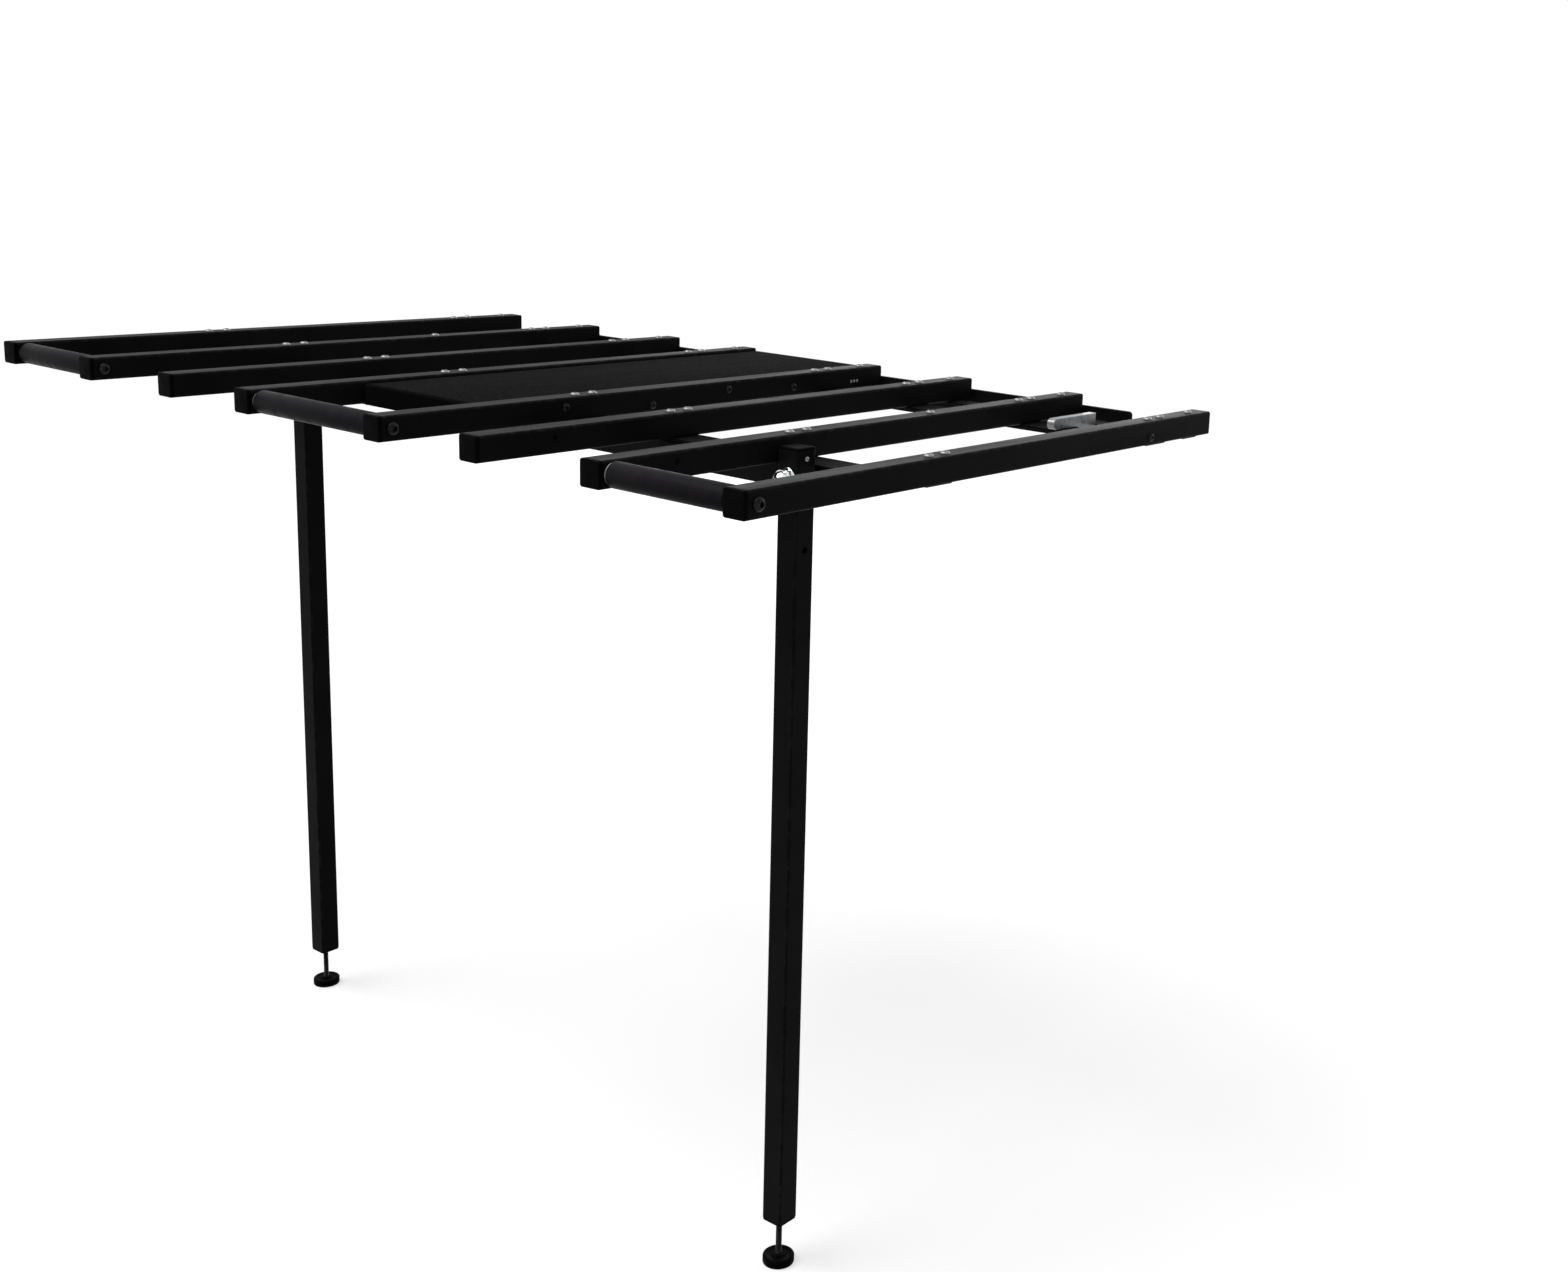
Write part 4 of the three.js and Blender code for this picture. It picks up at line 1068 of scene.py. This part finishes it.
def inset_outline(outline, distance):
    """Each corner of a counter-clockwise outline moved inwards along the bisector of its two edges."""
    ahead = np.roll(outline, -1, 0) - outline
    ahead = ahead / np.linalg.norm(ahead, axis=1, keepdims=True)
    normal = np.stack([ahead[:, 1], -ahead[:, 0]], -1)
    before = np.roll(normal, 1, 0)
    return outline - distance * (normal + before) / (1 + (normal * before).sum(1, keepdims=True))


def arc_points(centre, radius, start, end, steps=13):
    """Points of an arc, from a start angle to an end angle in degrees."""
    angles = np.radians(np.linspace(start, end, steps))
    return np.stack([centre[0] + radius * np.cos(angles), centre[1] + radius * np.sin(angles)], -1)


def plate(axis, outline, start, end):
    """A plate between two places along the axis, with its outline in the two other axes."""
    small = inset_outline(outline, PLATE_EASE)
    places = [start, start + PLATE_EASE, end - PLATE_EASE, end]
    return carry(axis, [small, outline, outline, small], places, (0, 0, 0))


def round_rectangle(low, high, radius):
    """Counter-clockwise rectangle with round corners, between two corner points."""
    corners = [(high[0] - radius, high[1] - radius, 0), (low[0] + radius, high[1] - radius, 90)]
    corners += [(low[0] + radius, low[1] + radius, 180), (high[0] - radius, low[1] + radius, 270)]
    return np.concatenate([arc_points((x, z), radius, a, a + 90, 6) for x, z, a in corners])


print("a mount slot has", len(round_rectangle((0, 0), (3, 1), 0.5)), "points")

# %% [markdown]
# A hinge arm is a cranked plate of zinc-plated steel. Its eye turns on the pin, it passes under the end
# strap, steps up between the straps and lies with a round nose on the rear strap. The outline is read off
# the boxes of the straps, so the arm keeps its room when they move, and the eye is drilled as the legs
# were.

# %% Hinge arms
EYE_RADIUS = 8.0 * MM
ARM_ROOM = 0.8 * MM
ARM_RUN = 15.0 * MM
ARM_HEIGHT = 12.4 * MM
ARM_CREASE = 28
PIN_HOLE = 4.3 * MM


def arm_outline(low, high, axis):
    """Eye, run under the end strap, step up between the straps, and a round nose on the rear strap."""
    end_low = strap_boxes["end"][0]
    rear_high = strap_boxes["rear"][1]
    step, ceiling = end_low[1] - ARM_ROOM, end_low[2] - ARM_ROOM
    seat, half = high[2] - ARM_HEIGHT, ARM_HEIGHT / 2
    eye = arc_points(axis, EYE_RADIUS, -90, 90)
    under = np.array([(axis[0] - EYE_RADIUS, ceiling), (step, ceiling), (step, high[2])])
    nose = arc_points((low[1] + half, seat + half), half, 90, 270)
    back = rear_high[1] + ARM_ROOM
    return np.concatenate([eye, under, nose, [(back, seat), (back, ceiling - ARM_RUN)]])


for side, _ in SIDES:
    low, high, _ = node_box(f"hinge_arm_{side}")
    pin_centre = node_box(f"hinge_pin_{side}")[2]
    arm = plate(X, arm_outline(low, high, pin_centre[1:]), low[0], high[0])
    bore = through_rod(X, low, high, pin_centre, PIN_HOLE)
    mesh = drill(grids_to_mesh(f"fold_arm_{side}", [arm], flat_ends=True), [bore])
    make_piece(f"fold_arm_{side}", mesh, "table_frame", "bright_steel", [f"hinge_arm_{side}"], ARM_CREASE)
print("hinge arms:", len(SIDES))

# %% [markdown]
# Each arm turns between the two ears of a bracket, on a pin with a domed head. The bracket is welded up
# from three plates, so it is three plates here too, and the ears reach a little into the base as welded
# ones do.

# %% Hinge brackets and pins
EAR_THICKNESS = 4.0 * MM
EAR_ROOM = 0.6 * MM
BASE_THICKNESS = 4.0 * MM
BRACKET_CORNER = 3.0 * MM
PIN_RADIUS = 4.0 * MM
PIN_HEAD = 3.0 * MM
PIN_CHAMFER = 0.7 * MM
PIN_DOME_START = 0.1


def pin_grid(low, high, centre):
    """Chamfered tail, shank and a plain domed head."""
    length, head = high[0] - low[0], (high[2] - low[2]) / 2
    base = length - PIN_HEAD
    arc = np.linspace(PIN_DOME_START, np.pi / 2, 7)
    profile = [(0, 0), (PIN_RADIUS - PIN_CHAMFER, 0), (PIN_RADIUS, PIN_CHAMFER), (PIN_RADIUS, base)]
    profile += [(head, base)] + [(head * math.cos(a), length - PIN_HEAD * (1 - math.sin(a))) for a in arc]
    return turn_profile(profile, (low[0], centre[1], centre[2]), (1, 0, 0))


for side, _ in SIDES:
    low, high, _ = node_box(f"hinge_bracket_{side}")
    arm_low, arm_high, _ = node_box(f"hinge_arm_{side}")
    pin_centre = node_box(f"hinge_pin_{side}")[2]
    root = high[1] - BASE_THICKNESS + PLATE_EASE
    nose = arc_points(pin_centre[1:], EYE_RADIUS, 90, 270)
    foot = [(root, pin_centre[2] - EYE_RADIUS), (root, pin_centre[2] + EYE_RADIUS)]
    ear = np.concatenate([foot, nose])
    left_ear = plate(X, ear, arm_low[0] - EAR_ROOM - EAR_THICKNESS, arm_low[0] - EAR_ROOM)
    right_ear = plate(X, ear, arm_high[0] + EAR_ROOM, arm_high[0] + EAR_ROOM + EAR_THICKNESS)
    base_line = round_rectangle(low[[X, Z]], high[[X, Z]], BRACKET_CORNER)
    base = plate(Y, base_line, high[1] - BASE_THICKNESS, high[1])
    mesh = grids_to_mesh(f"fold_bracket_{side}", [base, left_ear, right_ear], flat_ends=True)
    make_piece(f"fold_bracket_{side}", mesh, "saw_mount", "black_coat", [f"hinge_bracket_{side}"])
    redraw(f"hinge_pin_{side}", f"fold_pin_{side}", pin_grid, "saw_mount", "bright_steel")
print("brackets and pins:", len(SIDES), "of each")

# %% [markdown]
# The mount bar is one long plate with round corners. Four slots let it slide sideways before its bolts are
# tightened. A slot is a very round rectangle, drawn a little longer than the bar is thick and cut away.

# %% Mount bar
BAR_CORNER = 4.0 * MM
SLOT_RADIUS = 4.5 * MM
SLOT_ROUND = SLOT_RADIUS * 0.999
SLOT_HALF = np.array([15.0 * MM, SLOT_RADIUS])
SLOT_PLACES = (-0.360, -0.150, 0.150, 0.360)

low, high, centre = node_box("mount_bar")
bar = plate(Y, round_rectangle(low[[X, Z]], high[[X, Z]], BAR_CORNER), low[1], high[1])
slot_ends = [low[1] - DRILL_OVERRUN, high[1] + DRILL_OVERRUN]
middles = [np.array([x, centre[2]]) for x in SLOT_PLACES]
lines = [round_rectangle(middle - SLOT_HALF, middle + SLOT_HALF, SLOT_ROUND) for middle in middles]
slots = [close_ends(carry(Y, [line, line], slot_ends, (0, 0, 0))) for line in lines]
mesh = drill(grids_to_mesh("slotted_bar", [bar], flat_ends=True), slots)
make_piece("slotted_bar", mesh, "saw_mount", "black_coat", ["mount_bar"])
print("mount bar with", len(slots), "slots")

# %% [markdown]
# ## Floor and light
# The photograph has a plain white ground. Stronger lamps would turn the floor white too, but they would
# wash out the black coats, so the floor and the world have two faces instead. The camera's rays, mirrored
# ones and those that pass through a piece see a pale floor, with its soft shadow, and a white world.
# Scattered light meets a darker studio, so the lamps alone say how bright the table is.

# %% Floor
FLOOR_HALF = 60.0
FLOOR_GAP = 0.2 * MM
FLOOR_PALE = (0.9, 0.9, 0.9)
FLOOR_GLOW = 1.19
GLOW_SHARE = 0.5
STUDIO_GREY = (0.16, 0.16, 0.16)

floor_z = cad_box[0][2]
floor_mesh = bpy.data.meshes.new("studio_floor")
corner_signs = np.array([[-1, -1], [1, -1], [1, 1], [-1, 1]])
floor_points = np.c_[corner_signs * FLOOR_HALF, np.full(4, floor_z - FLOOR_GAP)]
floor_mesh.from_pydata(floor_points.tolist(), [], [[0, 1, 2, 3]])
floor = bpy.data.objects.new("studio_floor", floor_mesh)
bpy.context.scene.collection.objects.link(floor)


def join_shaders(tree, amount, first, second):
    """Mix of two shaders; the amount is a number or another node's output."""
    node = tree.nodes.new("ShaderNodeMixShader")
    if isinstance(amount, float):
        node.inputs["Fac"].default_value = amount
    else:
        tree.links.new(amount, node.inputs["Fac"])
    tree.links.new(first, node.inputs[1])
    tree.links.new(second, node.inputs[2])
    return node.outputs["Shader"]


def background_rays(tree):
    """1 for the rays that show the ground: the camera's own, mirrored ones and those that pass through."""
    path = tree.nodes.new("ShaderNodeLightPath")
    shown = combine(tree, "MAXIMUM", path.outputs["Is Camera Ray"], path.outputs["Is Glossy Ray"])
    return combine(tree, "MAXIMUM", shown, path.outputs["Is Transmission Ray"])


floor_finish, tree, shader, _ = start_finish("studio_floor", 0.0, Roughness=0.9, Specular_IOR_Level=0.0)
shader.inputs["Base Color"].default_value = (*FLOOR_PALE, 1)
glow = tree.nodes.new("ShaderNodeEmission")
glow.inputs["Strength"].default_value = FLOOR_GLOW
dark = tree.nodes.new("ShaderNodeBsdfDiffuse")
dark.inputs["Color"].default_value = (*STUDIO_GREY, 1)
pale = join_shaders(tree, GLOW_SHARE, shader.outputs["BSDF"], glow.outputs["Emission"])
both = join_shaders(tree, background_rays(tree), dark.outputs["BSDF"], pale)
tree.links.new(both, tree.nodes["Material Output"].inputs["Surface"])
floor_mesh.materials.append(floor_finish)
print(f"floor at {floor_z:.3f} m")

# %% [markdown]
# The world is split in the same way: white at a strength of 1 where it is seen or mirrored, and a weak even
# light, which fills the shadows, for everything else.

# %% World
WORLD_LEVEL = 0.3

world = bpy.data.worlds.new("white_studio")
bpy.context.scene.world = world
world.use_nodes = True
sky = world.node_tree
soft = sky.nodes["Background"]
white = sky.nodes.new("ShaderNodeBackground")
for background, level in ((soft, WORLD_LEVEL), (white, 1.0)):
    background.inputs["Color"].default_value = (1, 1, 1, 1)
    background.inputs["Strength"].default_value = level
both = join_shaders(sky, background_rays(sky), soft.outputs["Background"], white.outputs["Background"])
sky.links.new(both, sky.nodes["World Output"].inputs["Surface"])
print("world level", WORLD_LEVEL)

# %% [markdown]
# A wide soft sun lights table and floor evenly, so the ground stays white to the horizon. A low panel
# stands behind the table, just where the flat rail tops mirror the view: from the front ends the mirrored
# ray passes over its upper edge, so the tops grow paler towards the hinge end. The panel leans to one side,
# because the rails on the right turn pale further forward than those on the left. A lamp overhead draws a
# line of light along the rollers.

# %% Lamps
TABLE_MIDDLE = (0.0, -0.36, 0.0)
SUN_PLACE = (-1.2, -1.6, 3.0)
SUN_STRENGTH = 2.3
SUN_ANGLE = math.radians(40)
PANEL_PLACE = (-1.042, 3.666, 0.528)
PANEL_SIZE = (5.4, 0.9)
PANEL_LEAN = math.radians(-11.3)
PANEL_GLOW = 3.9
OVERHEAD_PLACE, OVERHEAD_AIM = (0.4, -1.0, 2.2), (0.1, -0.6, 0.0)
OVERHEAD_SIZE = (1.6, 1.6)
OVERHEAD_GLOW = 1.0


def aim_lamp(name, kind, place, aim, lean=0.0):
    """A lamp at a place that shines at the aim, leaning about its own axis, and hidden from the camera."""
    lamp = bpy.data.objects.new(name, bpy.data.lights.new(name, kind))
    bpy.context.scene.collection.objects.link(lamp)
    lamp.location = place
    upright = (Vector(aim) - Vector(place)).to_track_quat("-Z", "Y")
    lamp.rotation_euler = (upright @ Quaternion((0, 0, 1), lean)).to_euler()
    lamp.visible_camera = False
    return lamp


def light_panel(lamp, size, glow):
    """Sets an area lamp's size, and pi times the area times the glow as its power, so it glows that much."""
    lamp.data.shape = "RECTANGLE"
    lamp.data.size, lamp.data.size_y = size
    lamp.data.energy = math.pi * size[0] * size[1] * glow


sun = aim_lamp("soft_sun", "SUN", SUN_PLACE, TABLE_MIDDLE)
sun.data.energy = SUN_STRENGTH
sun.data.angle = SUN_ANGLE
panel = aim_lamp("back_panel", "AREA", PANEL_PLACE, TABLE_MIDDLE, PANEL_LEAN)
light_panel(panel, PANEL_SIZE, PANEL_GLOW)
overhead = aim_lamp("overhead_lamp", "AREA", OVERHEAD_PLACE, OVERHEAD_AIM)
light_panel(overhead, OVERHEAD_SIZE, OVERHEAD_GLOW)
bpy.context.scene.view_settings.view_transform = "Standard"
print("lamps:", sun.name, panel.name, overhead.name)
